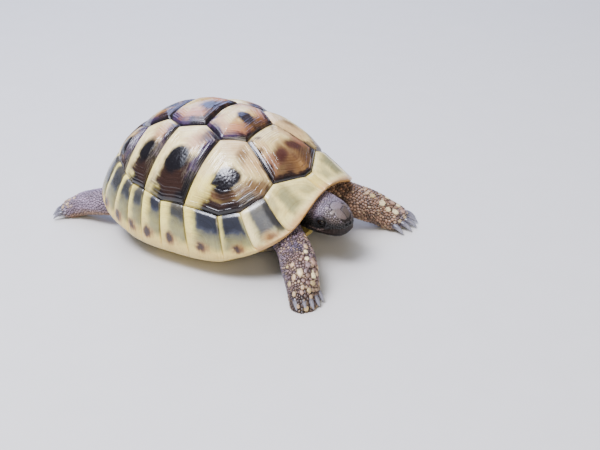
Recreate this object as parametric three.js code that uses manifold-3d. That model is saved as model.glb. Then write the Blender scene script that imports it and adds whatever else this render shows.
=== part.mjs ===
// Hermann's tortoise, walking, as a life-size still model. Units are millimetres, +Z is up,
// +X is the way the animal faces and +Y is its left. Each named piece is one closed solid.
import * as THREE from 'three';
import { mergeVertices } from 'three/addons/utils/BufferGeometryUtils.js';
import Module from 'manifold-3d';

const wasm = await Module();
wasm.setup();

// Carapace: straight length, then widths and heights as shares of that length.
const length = 145;
const widthShare = 0.762;
const heightShare = 0.488;
const rimHeightFront = 0.247;
const rimHeightSide = 0.061;
const rimHeightRear = 0.157;
const groundClearance = 6;
const outlinePowerFront = 3.2;
const outlinePowerRear = 2.55;
const rimSweepFront = 4.8;
const rimSweepRear = 2.7;
const plateauPower = { side: 2.2, front: 1.98, rear: 2.22 };
const slopePower = { side: 1.75, front: 0.72, rear: 1.17 };
const shoulderFlare = 1.6;

// Shell plates: thickness, the gap kept between neighbours and how far each one bulges.
const plateThickness = 2.5;
const rimThickness = 3.6;
const plateGap = 0.4;
const plateBulge = 2.1;
const rimBulge = 0.6;

// Plastron and the flesh behind it.
const plastronBottom = 5;
const plastronThickness = 3;
const plastronFront = 60;
const plastronRear = -57;
const pieceGap = 0.3;

// Head: where its middle is, which way it looks and how big it is.
const headMiddle = [73.4, -5, 27.4];
const headTurn = -15;
const headNod = -6;
const headSections = [
  { at: -17, wide: 9.2, top: 8.2, low: 9 },
  { at: -12.5, wide: 11.2, top: 9.6, low: 10.4 },
  { at: -6.5, wide: 12.4, top: 10.5, low: 11 },
  { at: -0.5, wide: 12, top: 10.4, low: 10.5 },
  { at: 5, wide: 11.2, top: 10.1, low: 9.5 },
  { at: 9.5, wide: 9.9, top: 9.3, low: 8.6 },
  { at: 13.4, wide: 8.1, top: 7.7, low: 7.5 },
  { at: 15.9, wide: 6.2, top: 5.6, low: 6.1 },
  { at: 17.3, wide: 3.8, top: 2.9, low: 4.2 },
];
const eyePlace = [6, 9, 2.1];
const eyeRadius = 2.4;
const jawHinge = [0.5, -4.6];
const jawTip = [19, -3.4];

// Limbs: oval tubes from inside the shell to the sole, then the wrist or ankle that parts
// leg and foot, then the claws as root and tip.
const limbs = {
  front_right: {
    flat: [0.5, 0.8, 0.3],
    stations: [
      { at: [43, -18.6, 24], wide: 9.4, deep: 9 },
      { at: [55, -22.5, 22.5], wide: 9.8, deep: 8.4 },
      { at: [63.5, -28, 20.5], wide: 9.2, deep: 8.2 },
      { at: [70.4, -33.8, 18.5], wide: 9.4, deep: 8.2 },
      { at: [76.8, -40.4, 15.5], wide: 9.8, deep: 8 },
      { at: [81.8, -46.3, 11], wide: 9.3, deep: 7.4 },
      { at: [85.4, -51.2, 5.5], wide: 8.3, deep: 6.8 },
      { at: [87.4, -54, -1], wide: 7.8, deep: 6.8 },
    ],
    wrist: [82.4, -47, 10.4],
    claws: {
      at: [85, -50.3, 6],
      heading: -31,
      count: 5,
      width: 6.2,
      reach: 5.4,
      bow: 0.75,
      run: 5,
      tipHeight: 0.9,
    },
  },
  front_left: {
    flat: [-0.2, 1, 0.25],
    stations: [
      { at: [46, 21.4, 27], wide: 9.8, deep: 9 },
      { at: [57, 26.6, 23], wide: 10.4, deep: 9 },
      { at: [67, 31, 18.5], wide: 10.8, deep: 8.8 },
      { at: [75, 35, 15], wide: 10.6, deep: 8.5 },
      { at: [81, 38.5, 11.8], wide: 10.3, deep: 8 },
      { at: [86.5, 41.6, 7.8], wide: 9.6, deep: 7.2 },
      { at: [92.5, 43.6, 5.1], wide: 9.2, deep: 6.1 },
      { at: [97.6, 44.2, 3.6], wide: 7.6, deep: 3.9 },
    ],
    wrist: [84, 40.2, 9.9],
    claws: {
      at: [90.6, 43.7, 4.2],
      heading: 6,
      count: 5,
      width: 8.4,
      reach: 6.8,
      bow: 0.6,
      run: 8,
      tipHeight: 0.9,
    },
  },
  hind_right: {
    flat: [0.1, 1, 0.35],
    stations: [
      { at: [-42, -18, 17.6], wide: 11.6, deep: 8.4 },
      { at: [-56, -22, 15.2], wide: 11, deep: 7.8 },
      { at: [-68, -25, 13.2], wide: 10, deep: 7.8 },
      { at: [-79, -26.5, 11], wide: 9, deep: 7.4 },
      { at: [-88, -27.5, 8], wide: 8.2, deep: 7 },
      { at: [-95, -30, 5], wide: 7.4, deep: 6 },
      { at: [-100.5, -33.5, 4.2], wide: 5.6, deep: 4.2 },
    ],
    wrist: [-89, -27.8, 8.6],
    claws: {
      at: [-97, -31.5, 4],
      heading: 207,
      count: 4,
      width: 5,
      reach: 3.6,
      bow: 0.4,
      run: 7,
      tipHeight: 0.9,
    },
  },
  hind_left: {
    flat: [0.9, 0.1, 0],
    stations: [
      { at: [-36, 18, 25], wide: 13, deep: 10.5 },
      { at: [-40, 28, 22], wide: 12.5, deep: 10.2 },
      { at: [-43, 37, 17], wide: 11, deep: 9.2 },
      { at: [-44, 43, 11], wide: 9.4, deep: 8.2 },
      { at: [-43, 46, 4.5], wide: 9.4, deep: 8.4 },
      { at: [-42.5, 47, -1], wide: 9.4, deep: 8.6 },
    ],
    wrist: [-44, 43.5, 10.2],
    claws: {
      at: [-42.5, 46.5, 4.2],
      heading: 48,
      count: 4,
      width: 6.8,
      reach: 6,
      bow: 0.4,
      run: 6,
      tipHeight: 0.9,
    },
  },
};

const clawRadius = 1.6;

const neckStations = [
  { at: [36, 3, 32], wide: 9.4, deep: 11.4 },
  { at: [48, 2, 31], wide: 9, deep: 10.8 },
  { at: [57, -0.5, 29.8], wide: 9.2, deep: 10 },
  { at: [64, -2.6, 28.6], wide: 9.6, deep: 9.4 },
];

const tailStations = [
  { at: [-42, 2, 22], wide: 8, deep: 7 },
  { at: [-52, 3, 20], wide: 7, deep: 6.2 },
  { at: [-60, 5.5, 17.5], wide: 5.6, deep: 5 },
  { at: [-66.5, 9, 15], wide: 4.2, deep: 3.8 },
  { at: [-71, 13.5, 13], wide: 3, deep: 2.8 },
  { at: [-73.5, 18, 11.6], wide: 1.9, deep: 1.8 },
  { at: [-74.4, 21.5, 10.6], wide: 0.6, deep: 0.6 },
];

const rad = THREE.MathUtils.degToRad;
const { lerp, smoothstep, clamp } = THREE.MathUtils;

// --- carapace surface -------------------------------------------------------------------

// A place on the carapace is written as flattened plan coordinates: the direction is the
// bearing from the crown, the distance is the share of the way from the crown to the rim
// times the rim's own distance, both in carapace lengths.

function rimRadius(bearing) {
  const along = Math.abs(Math.cos(bearing)) * 2;
  const across = Math.abs(Math.sin(bearing)) * 2 / widthShare;
  const power = Math.cos(bearing) >= 0 ? outlinePowerFront : outlinePowerRear;
  const plain = length * (along ** power + across ** power) ** (-1 / power);
  const offShoulder = (Math.abs(bearing) - rad(26)) / rad(9);
  return plain + shoulderFlare * Math.exp(-offShoulder * offShoulder);
}

function rimHeight(bearing) {
  const front = Math.max(Math.cos(bearing), 0) ** rimSweepFront;
  const rear = Math.max(-Math.cos(bearing), 0) ** rimSweepRear;
  const share = rimHeightSide + (rimHeightFront - rimHeightSide) * front
    + (rimHeightRear - rimHeightSide) * rear;
  return length * share + groundClearance;
}

function blend(table, bearing) {
  const front = Math.max(Math.cos(bearing), 0) ** 2;
  const rear = Math.max(-Math.cos(bearing), 0) ** 2;
  return table.front * front + table.rear * rear + table.side * (1 - front - rear);
}

function domePoint(bearing, share) {
  const turn = clamp(share, 0, 1) * Math.PI / 2;
  const out = Math.sin(turn) ** (2 / blend(plateauPower, bearing));
  const up = Math.cos(turn) ** (2 / blend(slopePower, bearing));
  const reach = rimRadius(bearing) * out;
  const low = rimHeight(bearing);
  const top = length * heightShare + groundClearance;
  return new THREE.Vector3(
    reach * Math.cos(bearing),
    reach * Math.sin(bearing),
    low + (top - low) * up,
  );
}

function shareOf(spot) {
  return spot.length() * length / rimRadius(Math.atan2(spot.y, spot.x));
}

function shellPoint(spot) {
  return domePoint(Math.atan2(spot.y, spot.x), shareOf(spot));
}

function shellNormal(spot) {
  const step = 0.004;
  const pull = shareOf(spot) > 0.96 ? 0.96 / shareOf(spot) : 1;
  const base = spot.clone().multiplyScalar(pull);
  const at = (dx, dy) => shellPoint(new THREE.Vector2(base.x + dx, base.y + dy));
  const alongX = at(step, 0).sub(at(-step, 0));
  const alongY = at(0, step).sub(at(0, -step));
  return alongX.cross(alongY).normalize();
}

// Flattened plan coordinates of a rim place, from its bearing in degrees.
function rimSpot(degrees) {
  const bearing = rad(degrees);
  const reach = rimRadius(bearing) / length;
  return new THREE.Vector2(reach * Math.cos(bearing), reach * Math.sin(bearing));
}

// --- where the seams meet, left side; the right side is its mirror ------------------------

const seam = {
  nuchal: [0.323, 0.017],
  v1c1: [0.261, 0.112],
  v1v2: [0.141, 0.061],
  v2c2: [0.081, 0.093],
  v2v3: [0.025, 0.066],
  v3c3: [-0.038, 0.084],
  v3v4: [-0.081, 0.06],
  v4c4: [-0.141, 0.08],
  v4v5: [-0.197, 0.051],
  v5m11: [-0.281, 0.11],
  v5rear: [-0.317, 0.055],
  c1m2: [0.262, 0.156],
  c1m3: [0.226, 0.219],
  c1m4: [0.17, 0.254],
  c1c2: [0.056, 0.264],
  c2m6: [-0.028, 0.268],
  c2c3: [-0.095, 0.25],
  c3m8: [-0.147, 0.236],
  c3c4: [-0.186, 0.209],
  c4m10: [-0.238, 0.165],
  tail: [-0.327, 0],
};

const rimSeams = [2.6, 25.5, 40, 55, 74.5, 94, 108.6, 119, 132, 143.5, 155, 167, 180];

function corner(name, side) {
  return new THREE.Vector2(seam[name][0], seam[name][1] * side);
}

const vertebrals = [
  { left: ['v1v2', 'v1c1', 'nuchal'], middle: [0.214, 0] },
  { left: ['v2v3', 'v2c2', 'v1v2'], middle: [0.078, 0] },
  { left: ['v3v4', 'v3c3', 'v2v3'], middle: [-0.036, 0] },
  { left: ['v4v5', 'v4c4', 'v3v4'], middle: [-0.141, 0] },
  { left: ['tail', 'v5rear', 'v5m11', 'v4v5'], middle: [-0.262, 0] },
];

const costals = [
  { around: ['v2c2', 'c1c2', 'c1m4', 'c1m3', 'c1m2', 'v1c1', 'v1v2'], middle: [0.15, 0.162] },
  { around: ['v3c3', 'c2c3', 'c2m6', 'c1c2', 'v2c2', 'v2v3'], middle: [0.012, 0.16] },
  { around: ['v4c4', 'c3c4', 'c3m8', 'c2c3', 'v3c3', 'v3v4'], middle: [-0.092, 0.15] },
  { around: ['v5m11', 'c4m10', 'c3c4', 'v4c4', 'v4v5'], middle: [-0.196, 0.13] },
];

const marginalTops = [
  ['nuchal', 'v1c1', 'c1m2'],
  ['c1m2', 'c1m3'],
  ['c1m3', 'c1m4'],
  ['c1m4', 'c1c2'],
  ['c1c2', 'c2m6'],
  ['c2m6', 'c2c3'],
  ['c2c3', 'c3m8'],
  ['c3m8', 'c3c4'],
  ['c3c4', 'c4m10'],
  ['c4m10', 'v5m11'],
  ['v5m11', 'v5rear'],
  ['v5rear', 'tail'],
];

// --- solids -------------------------------------------------------------------------------

// A closed three.js geometry as a solid: vertices in one place are merged, slivers dropped.
function solidOf(geometry) {
  const bare = geometry.clone();
  bare.deleteAttribute('normal');
  bare.deleteAttribute('uv');
  const merged = mergeVertices(bare, 1e-4);
  const corners = Array.from(merged.index.array);
  const kept = corners.filter((_, i) => {
    const face = corners.slice(i - i % 3, i - i % 3 + 3);
    return new Set(face).size === 3;
  });
  return new wasm.Manifold(new wasm.Mesh({
    numProp: 3,
    vertProperties: merged.getAttribute('position').array,
    triVerts: new Uint32Array(kept),
  }));
}

function geometryOf(solid) {
  const { vertProperties, triVerts } = solid.getMesh();
  const geometry = new THREE.BufferGeometry();
  geometry.setAttribute('position', new THREE.BufferAttribute(vertProperties, 3));
  geometry.setIndex(new THREE.BufferAttribute(triVerts, 1));
  geometry.computeVertexNormals();
  return geometry;
}

function moveVertices(geometry, place) {
  const position = geometry.getAttribute('position');
  const spot = new THREE.Vector3();
  for (let i = 0; i < position.count; i += 1) {
    const moved = place(spot.fromBufferAttribute(position, i), i);
    position.setXYZ(i, moved.x, moved.y, moved.z);
  }
  return geometry;
}

// A turned body whose rings are then put in their places. The first and last rows are poles.
function ringBody(sides, rows, place) {
  const profile = Array.from({ length: rows }, (_, row) => {
    return new THREE.Vector2(row === 0 || row === rows - 1 ? 0 : 1, row);
  });
  const lathe = new THREE.LatheGeometry(profile, sides);
  return solidOf(moveVertices(lathe, (_, i) => place(i % rows, Math.floor(i / rows) % sides)));
}

// A block with the given number of steps each way, bent by place(x, y, z) of 0 to 1 each.
function bentBlock(steps, place) {
  const block = new THREE.BoxGeometry(1, 1, 1, ...steps);
  return solidOf(moveVertices(block, ({ x, y, z }) => place(x + 0.5, y + 0.5, z + 0.5)));
}

// Keeps what lies on the side the direction points to, beyond the given point.
function keepBeyond(body, direction, point) {
  const normal = direction.clone().normalize();
  return body.trimByPlane(normal.toArray(), normal.dot(point));
}

// The two parts of a solid cut at a plane, parted by the piece gap.
function parted(body, point, direction) {
  const along = direction.clone().normalize();
  const before = point.clone().addScaledVector(along, -pieceGap / 2);
  const beyond = point.clone().addScaledVector(along, pieceGap / 2);
  return [keepBeyond(body, along.clone().negate(), before), keepBeyond(body, along, beyond)];
}

// --- shell plates -------------------------------------------------------------------------

// Moves every side of a flat outline inwards; the outline runs counter-clockwise.
function insetOutline(corners, inset) {
  const count = corners.length;
  const sides = corners.map((from, i) => {
    const along = corners[(i + 1) % count].clone().sub(from).normalize();
    const inwards = new THREE.Vector2(-along.y, along.x);
    return { point: from.clone().addScaledVector(inwards, inset), along };
  });
  return corners.map((_, i) => {
    const before = sides[(i + count - 1) % count];
    const after = sides[i];
    const gap = after.point.clone().sub(before.point);
    const reach = gap.cross(after.along) / before.along.cross(after.along);
    return before.point.clone().addScaledVector(before.along, reach);
  });
}

// A vertebral or costal plate: a turned disc stretched to the scute's outline and laid over
// the dome, with its rings drawn in towards the oldest part of the scute.
function domePlate(corners, middle) {
  const inset = insetOutline(corners, plateGap / 2 / length);
  const edge = inset.flatMap((from, i) => {
    const to = inset[(i + 1) % inset.length];
    return [0, 1 / 3, 2 / 3].map((share) => from.clone().lerp(to, share));
  });
  const rings = [0, 0.5, 1, 1, 0.78, 0.45, 0];
  return ringBody(edge.length, rings.length, (row, side) => {
    const ring = rings[row];
    const spot = middle.clone().lerp(edge[side], ring);
    const lift = row < 3 ? -plateThickness : plateBulge * (1 - ring ** 2.2);
    return shellPoint(spot).addScaledVector(shellNormal(spot), lift);
  });
}

// How strongly the rim turns under to meet the plastron, 1 along the bridge.
function bridgeShare(bearing) {
  const degrees = Math.abs(bearing) * 180 / Math.PI;
  return smoothstep(degrees, 49, 58) * (1 - smoothstep(degrees, 114, 123));
}

// One slice across the rim: six spots down the outside and six back up the inside.
function rimSlice(topSpot, rimDegrees, lift, grow) {
  const topBearing = Math.atan2(topSpot.y, topSpot.x);
  let rimBearing = rad(rimDegrees);
  if (Math.abs(rimBearing - topBearing) > Math.PI) {
    rimBearing -= 2 * Math.PI * Math.sign(rimBearing - topBearing);
  }
  const rim = domePoint(rimBearing, 1);
  const chord = rim.clone().sub(shellPoint(topSpot));
  const sideways = new THREE.Vector3(-chord.y, chord.x, 0).normalize();
  const outside = [];
  const inside = [];
  for (const step of [0, 0.3, 0.6, 0.85, 1]) {
    const bearing = lerp(topBearing, rimBearing, step);
    const reach = rimRadius(bearing) * lerp(shareOf(topSpot), 1, step) / length;
    const spot = new THREE.Vector2(reach * Math.cos(bearing), reach * Math.sin(bearing));
    const normal = shellNormal(spot).projectOnPlane(sideways).normalize();
    const rise = lift * Math.sin(Math.PI * step * 0.9) + grow;
    const depth = lerp(plateThickness, rimThickness, step) + grow;
    outside.push(shellPoint(spot).addScaledVector(normal, rise));
    inside.push(shellPoint(spot).addScaledVector(normal, -depth));
  }
  const bridge = bridgeShare(rimBearing);
  const out = chord.setZ(0).normalize();
  const turned = (inwards, down) => rim.clone().addScaledVector(out, grow - inwards)
    .add(new THREE.Vector3(0, 0, -down - grow));
  outside.push(turned(lerp(0.5, 0.6, bridge), lerp(1.8, 3, bridge)));
  const lip = turned(lerp(5, 5.4, bridge) + 2 * grow, lerp(2.9, 2.2, bridge) - grow);
  const foot = turned(lerp(2.2, 3.8, bridge), lerp(3, 5.4, bridge));
  inside.length = 3;
  return { outside, inside: [...inside, inside[2].clone().lerp(lip, 0.5), lip, foot] };
}

// A plate of the rim, from one seam to the next: a block bent over the rim.
function rimPlate(tops, fromDegrees, toDegrees) {
  const shift = plateGap / 2 / length;
  const side = Math.sign(toDegrees - fromDegrees);
  const spans = tops.length - 1;
  const steps = spans * 3;
  const trimDegrees = THREE.MathUtils.radToDeg(plateGap / 2 / rimRadius(rad(fromDegrees)));
  const slices = Array.from({ length: steps + 1 }, (_, i) => {
    const span = Math.min(Math.floor(i / 3), spans - 1);
    const spot = tops[span].clone().lerp(tops[span + 1], i / 3 - span);
    const away = spot.clone().normalize();
    const sideways = new THREE.Vector2(-away.y, away.x);
    const nudge = side * ((i === 0 ? 1 : 0) - (i === steps ? 1 : 0));
    spot.addScaledVector(away, shift * 1.3).addScaledVector(sideways, nudge * shift);
    const degrees = lerp(fromDegrees, toDegrees, i / steps) + nudge * trimDegrees;
    return rimSlice(spot, degrees, rimBulge * Math.sin(Math.PI * i / steps), 0);
  });
  return bentBlock([5, steps, 1], (down, along, up) => {
    const share = side > 0 ? along : 1 - along;
    const { outside, inside } = slices[Math.round(share * steps)];
    return (up > 0.5 ? outside : inside)[Math.round(down * 5)];
  });
}

// What the limbs, neck and tail must stay clear of: the lower carapace with the gap added.
function carapaceRoom() {
  const steps = 60;
  const slices = Array.from({ length: steps }, (_, i) => {
    const degrees = i / steps * 360 - 180;
    const { outside, inside } = rimSlice(
      rimSpot(degrees).multiplyScalar(0.3),
      degrees,
      rimBulge,
      3 * pieceGap,
    );
    return [...inside, ...outside.reverse()];
  });
  const sides = slices[0].length;
  const torus = new THREE.TorusGeometry(1, 0.4, sides, steps);
  return solidOf(moveVertices(torus, (_, i) => {
    return slices[i % (steps + 1) % steps][Math.floor(i / (steps + 1)) % sides];
  }));
}

// --- plastron -----------------------------------------------------------------------------

function rimSide(x) {
  const power = x >= 0 ? outlinePowerFront : outlinePowerRear;
  const share = 1 - Math.abs(2 * x / length) ** power;
  return length * widthShare / 2 * Math.max(share, 0) ** (1 / power);
}

function plastronHalfWidth(x) {
  const frontLobe = 30 * Math.max(1 - clamp((x - 16) / 46, 0, 1) ** 2.6, 0) ** 0.5;
  const rearLobe = lerp(30.5, 17, clamp((-22 - x) / 38, 0, 1) ** 1.7);
  const lobe = x > 0 ? frontLobe : rearLobe;
  const bridge = smoothstep(-x, -37, -30) * (1 - smoothstep(-x, 20, 27));
  return lerp(Math.max(lobe, 6), rimSide(x) - 4.3, bridge);
}

// How far the plastron rises towards the bridge and at the tips of its lobes.
function plastronRise(x, y) {
  const beyond = Math.max(Math.abs(y) - 33, 0);
  const upturn = 2.5 * smoothstep(x, 38, 62) + 2 * smoothstep(-x, 34, 60);
  return 4.7 * (beyond / 17) ** 1.6 + upturn;
}

function plastronSolid(grow) {
  return bentBlock([18, 10, 1], (along, aside, up) => {
    const across = aside * 2 - 1;
    const rear = plastronRear + 8 * (1 - Math.abs(across)) ** 1.3 - grow;
    const front = plastronFront - 5 * across * across + grow;
    const x = lerp(rear, front, along);
    const y = across * (plastronHalfWidth(x) + grow);
    const lift = up > 0.5 ? plastronThickness + grow : -grow;
    const slope = up > 0.5 ? 0.55 * smoothstep(Math.abs(y) - 33, 0, 14) : 0;
    const lean = -Math.sign(y) * slope * lift;
    return new THREE.Vector3(x, y + lean, plastronBottom + plastronRise(x, y) + lift);
  });
}

// --- flesh --------------------------------------------------------------------------------

// The body inside the shell: it follows the inside of the plates and stops short of the
// openings at the front and the rear.
function trunkSolid(grow) {
  const rows = 8;
  const sides = 32;
  const depth = rimThickness + pieceGap + 0.1 - grow;
  const floorHeight = plastronBottom + plastronThickness + pieceGap + 1.8;
  return ringBody(sides, rows, (row, side) => {
    const bearing = side / sides * 2 * Math.PI;
    const front = Math.max(Math.cos(bearing), 0) ** 1.5;
    const rear = Math.max(-Math.cos(bearing), 0) ** 2;
    const edge = 0.83 - 0.34 * front - 0.2 * rear;
    const level = clamp((row - 2) / (rows - 3), 0, 1);
    const share = row === rows - 1 ? 0 : edge * (1 - level) ** 0.8 + 0.02;
    const reach = rimRadius(bearing) * share / length;
    const spot = new THREE.Vector2(reach * Math.cos(bearing), reach * Math.sin(bearing));
    const skin = shellPoint(spot).addScaledVector(shellNormal(spot), -depth);
    if (row > 1) {
      return skin;
    }
    const size = Math.hypot(skin.x, skin.y);
    const pull = row === 0 ? 0 : (size * 0.88 + grow) / size;
    const foot = skin.multiply(new THREE.Vector3(pull, pull, 0));
    return foot.setZ(floorHeight + plastronRise(foot.x, foot.y) - grow);
  });
}

// A limb, neck, tail or claw: an oval tube through stations with a width and a depth.
function tube(stations, sides, flat) {
  const centres = stations.map((station) => new THREE.Vector3(...station.at));
  const last = stations.length - 1;
  return ringBody(sides, stations.length + 2, (row, side) => {
    const i = clamp(row - 1, 0, last);
    if (row === 0 || row === last + 2) {
      return centres[i];
    }
    const along = centres[Math.min(i + 1, last)].clone();
    along.sub(centres[Math.max(i - 1, 0)]).normalize();
    const wide = flat.clone().addScaledVector(along, -flat.dot(along)).normalize();
    const deep = along.clone().cross(wide);
    const turn = side / sides * 2 * Math.PI;
    return centres[i].clone()
      .addScaledVector(wide, Math.cos(turn) * stations[i].wide)
      .addScaledVector(deep, Math.sin(turn) * stations[i].deep);
  });
}

// The claws of one foot: curved cones side by side, rooted inside the front of the foot.
function clawFan({ at, heading, count, width, reach, bow, run, tipHeight }) {
  const ahead = new THREE.Vector3(Math.cos(rad(heading)), Math.sin(rad(heading)), 0);
  const aside = new THREE.Vector3(-ahead.y, ahead.x, 0);
  return Array.from({ length: count }, (_, i) => {
    const share = i / (count - 1) * 2 - 1;
    const root = new THREE.Vector3(...at)
      .addScaledVector(aside, share * width)
      .addScaledVector(ahead, reach * (1 - bow * share * share));
    const way = ahead.clone().addScaledVector(aside, 0.3 * share).normalize();
    const tip = root.clone().addScaledVector(way, run).setZ(tipHeight);
    const knee = root.clone().lerp(tip, 0.5).add(new THREE.Vector3(0, 0, 1.1));
    return tube([
      { at: root.toArray(), wide: clawRadius, deep: clawRadius },
      { at: knee.toArray(), wide: clawRadius * 0.8, deep: clawRadius * 0.8 },
      { at: tip.toArray(), wide: 0.35, deep: 0.35 },
    ], 6, aside);
  });
}

// The skull with the jaw still on it, in the head's own frame.
function headSolid() {
  const sides = 16;
  const last = headSections.length - 1;
  return ringBody(sides, last + 3, (row, side) => {
    const { at, wide, top, low } = headSections[clamp(row - 1, 0, last)];
    const pole = row === 0 || row === last + 2 ? 0 : 1;
    const turn = side / sides * 2 * Math.PI;
    const squared = (value) => pole * Math.sign(value) * Math.abs(value) ** 0.88;
    const height = Math.sin(turn) > 0 ? top : low;
    const sink = (1 - pole) * (top - low) / 2;
    const y = squared(Math.cos(turn)) * wide;
    return new THREE.Vector3(at, y, squared(Math.sin(turn)) * height + sink);
  });
}

// The room of the lower jaw: a wedge below the line of the mouth.
function jawSolid() {
  const outline = new THREE.Shape([
    new THREE.Vector2(jawHinge[0], jawHinge[1]),
    new THREE.Vector2(jawHinge[0], jawHinge[1] - 12),
    new THREE.Vector2(jawTip[0], jawTip[1] - 12),
    new THREE.Vector2(jawTip[0], jawTip[1]),
  ]);
  const wedge = new THREE.ExtrudeGeometry(outline, { depth: 28, bevelEnabled: false });
  wedge.rotateX(Math.PI / 2);
  wedge.translate(0, 14, 0);
  return solidOf(wedge);
}

// --- the model ----------------------------------------------------------------------------

const horn = { color: '#a58a5c', roughness: 0.32 };
const darkHorn = { color: '#6b4f35', roughness: 0.32 };
const paleHorn = { color: '#cdbd88', roughness: 0.35 };
const skin = { color: '#5a4a40', roughness: 0.75 };
const headSkin = { color: '#4a4048', roughness: 0.55 };
const eyeball = { color: '#0d0b0a', roughness: 0.08 };

const animal = new THREE.Group();

function addPiece(name, geometry, look, parent = animal) {
  const material = new THREE.MeshStandardMaterial({ ...look, metalness: 0 });
  const piece = new THREE.Mesh(geometry, material);
  piece.name = name;
  parent.add(piece);
  return piece;
}

vertebrals.forEach(({ left, middle }, i) => {
  const right = left.filter((name) => name !== 'tail').map((name) => corner(name, -1));
  const outline = [...left.map((name) => corner(name, 1)).reverse(), ...right];
  const body = domePlate(outline, new THREE.Vector2(...middle));
  addPiece(`vertebral_${i + 1}`, geometryOf(body), darkHorn);
});

for (const side of [1, -1]) {
  const sideName = side > 0 ? 'left' : 'right';
  costals.forEach(({ around, middle }, i) => {
    const corners = around.map((name) => corner(name, side));
    const outline = side > 0 ? corners.reverse() : corners;
    const body = domePlate(outline, new THREE.Vector2(middle[0], middle[1] * side));
    addPiece(`costal_${sideName}_${i + 1}`, geometryOf(body), horn);
  });
  marginalTops.forEach((names, i) => {
    const tops = names.map((name) => corner(name, side));
    const body = rimPlate(tops, rimSeams[i] * side, rimSeams[i + 1] * side);
    const name = i < 11 ? `marginal_${sideName}_${i + 1}` : `supracaudal_${sideName}`;
    addPiece(name, geometryOf(body), paleHorn);
  });
}

const nuchalTops = [corner('nuchal', -1), corner('nuchal', 1)];
addPiece('nuchal', geometryOf(rimPlate(nuchalTops, -rimSeams[0], rimSeams[0])), paleHorn);
addPiece('plastron', geometryOf(plastronSolid(0)), horn);
addPiece('trunk', geometryOf(trunkSolid(0)), skin);

const rooms = [carapaceRoom(), plastronSolid(pieceGap), trunkSolid(pieceGap)];
const clear = (body) => rooms.reduce((left, room) => left.subtract(room), body);

for (const [name, limb] of Object.entries(limbs)) {
  const whole = tube(limb.stations, 12, new THREE.Vector3(...limb.flat));
  const up = new THREE.Vector3(0, 0, 1);
  const standing = clear(keepBeyond(whole, up, new THREE.Vector3()));
  const run = new THREE.Vector3(...limb.stations.at(-1).at);
  run.sub(new THREE.Vector3(...limb.stations.at(-4).at));
  const [leg, foot] = parted(standing, new THREE.Vector3(...limb.wrist), run);
  const clawed = clawFan(limb.claws).reduce((whole, claw) => whole.add(claw), foot);
  addPiece(`${name}_leg`, geometryOf(leg), skin);
  addPiece(`${name}_foot`, geometryOf(clawed), skin);
}

const head = new THREE.Group();
head.position.set(...headMiddle);
head.rotation.set(0, -rad(headNod), rad(headTurn), 'ZYX');
head.updateMatrix();
animal.add(head);

const skull = headSolid();
const jaw = jawSolid();
const sockets = [1, -1].map((side) => {
  const socket = new THREE.SphereGeometry(eyeRadius + pieceGap, 10, 6);
  return solidOf(socket.translate(eyePlace[0], eyePlace[1] * side, eyePlace[2]));
});
const cutters = [jaw, jaw.translate([-pieceGap, 0, pieceGap]), ...sockets];
const cranium = cutters.reduce((left, cutter) => left.subtract(cutter), skull);
addPiece('head', geometryOf(cranium), headSkin, head);
addPiece('lower_jaw', geometryOf(skull.intersect(jaw)), headSkin, head);
for (const side of [1, -1]) {
  const ball = new THREE.SphereGeometry(eyeRadius, 10, 6);
  const eye = addPiece(`eye_${side > 0 ? 'left' : 'right'}`, ball, eyeball, head);
  eye.position.set(eyePlace[0], eyePlace[1] * side, eyePlace[2]);
}

const headBack = new THREE.Vector3(headSections[0].at - pieceGap, 0, 0);
const backwards = new THREE.Vector3(-1, 0, 0).transformDirection(head.matrix);
const neck = clear(tube(neckStations, 14, new THREE.Vector3(0, 1, 0)));
const neckEnd = headBack.applyMatrix4(head.matrix);
addPiece('neck', geometryOf(keepBeyond(neck, backwards, neckEnd)), skin);
addPiece('tail', geometryOf(clear(tube(tailStations, 12, new THREE.Vector3(0, 1, 0)))), skin);

// The model's own frame: the middle of its box in plan, with the soles at zero height.
const box = new THREE.Box3().setFromObject(animal, true);
const middle = box.getCenter(new THREE.Vector3());
animal.position.set(-middle.x, -middle.y, -box.min.z);

const model = new THREE.Group();
model.name = 'tortoise';
model.add(animal);

export default model;
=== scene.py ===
import math

import bpy
import numpy as np
from mathutils import Matrix, Vector, kdtree, noise
from mathutils.bvhtree import BVHTree


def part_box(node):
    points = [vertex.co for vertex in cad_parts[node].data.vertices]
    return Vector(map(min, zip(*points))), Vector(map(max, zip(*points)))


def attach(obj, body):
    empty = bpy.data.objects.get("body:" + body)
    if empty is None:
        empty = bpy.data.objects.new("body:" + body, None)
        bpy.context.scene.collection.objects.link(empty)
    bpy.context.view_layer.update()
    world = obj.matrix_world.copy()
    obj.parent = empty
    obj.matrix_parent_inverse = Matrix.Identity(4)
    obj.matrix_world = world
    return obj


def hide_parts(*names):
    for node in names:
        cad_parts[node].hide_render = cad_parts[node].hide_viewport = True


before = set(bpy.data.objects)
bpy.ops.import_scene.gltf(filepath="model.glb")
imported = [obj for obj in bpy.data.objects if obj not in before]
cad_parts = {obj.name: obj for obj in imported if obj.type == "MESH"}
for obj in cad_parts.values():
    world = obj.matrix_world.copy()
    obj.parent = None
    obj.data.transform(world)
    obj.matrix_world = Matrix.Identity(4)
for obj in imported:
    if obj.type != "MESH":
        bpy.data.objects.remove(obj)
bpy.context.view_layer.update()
bpy.ops.object.select_all(action="DESELECT")
print("frame loaded")

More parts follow.
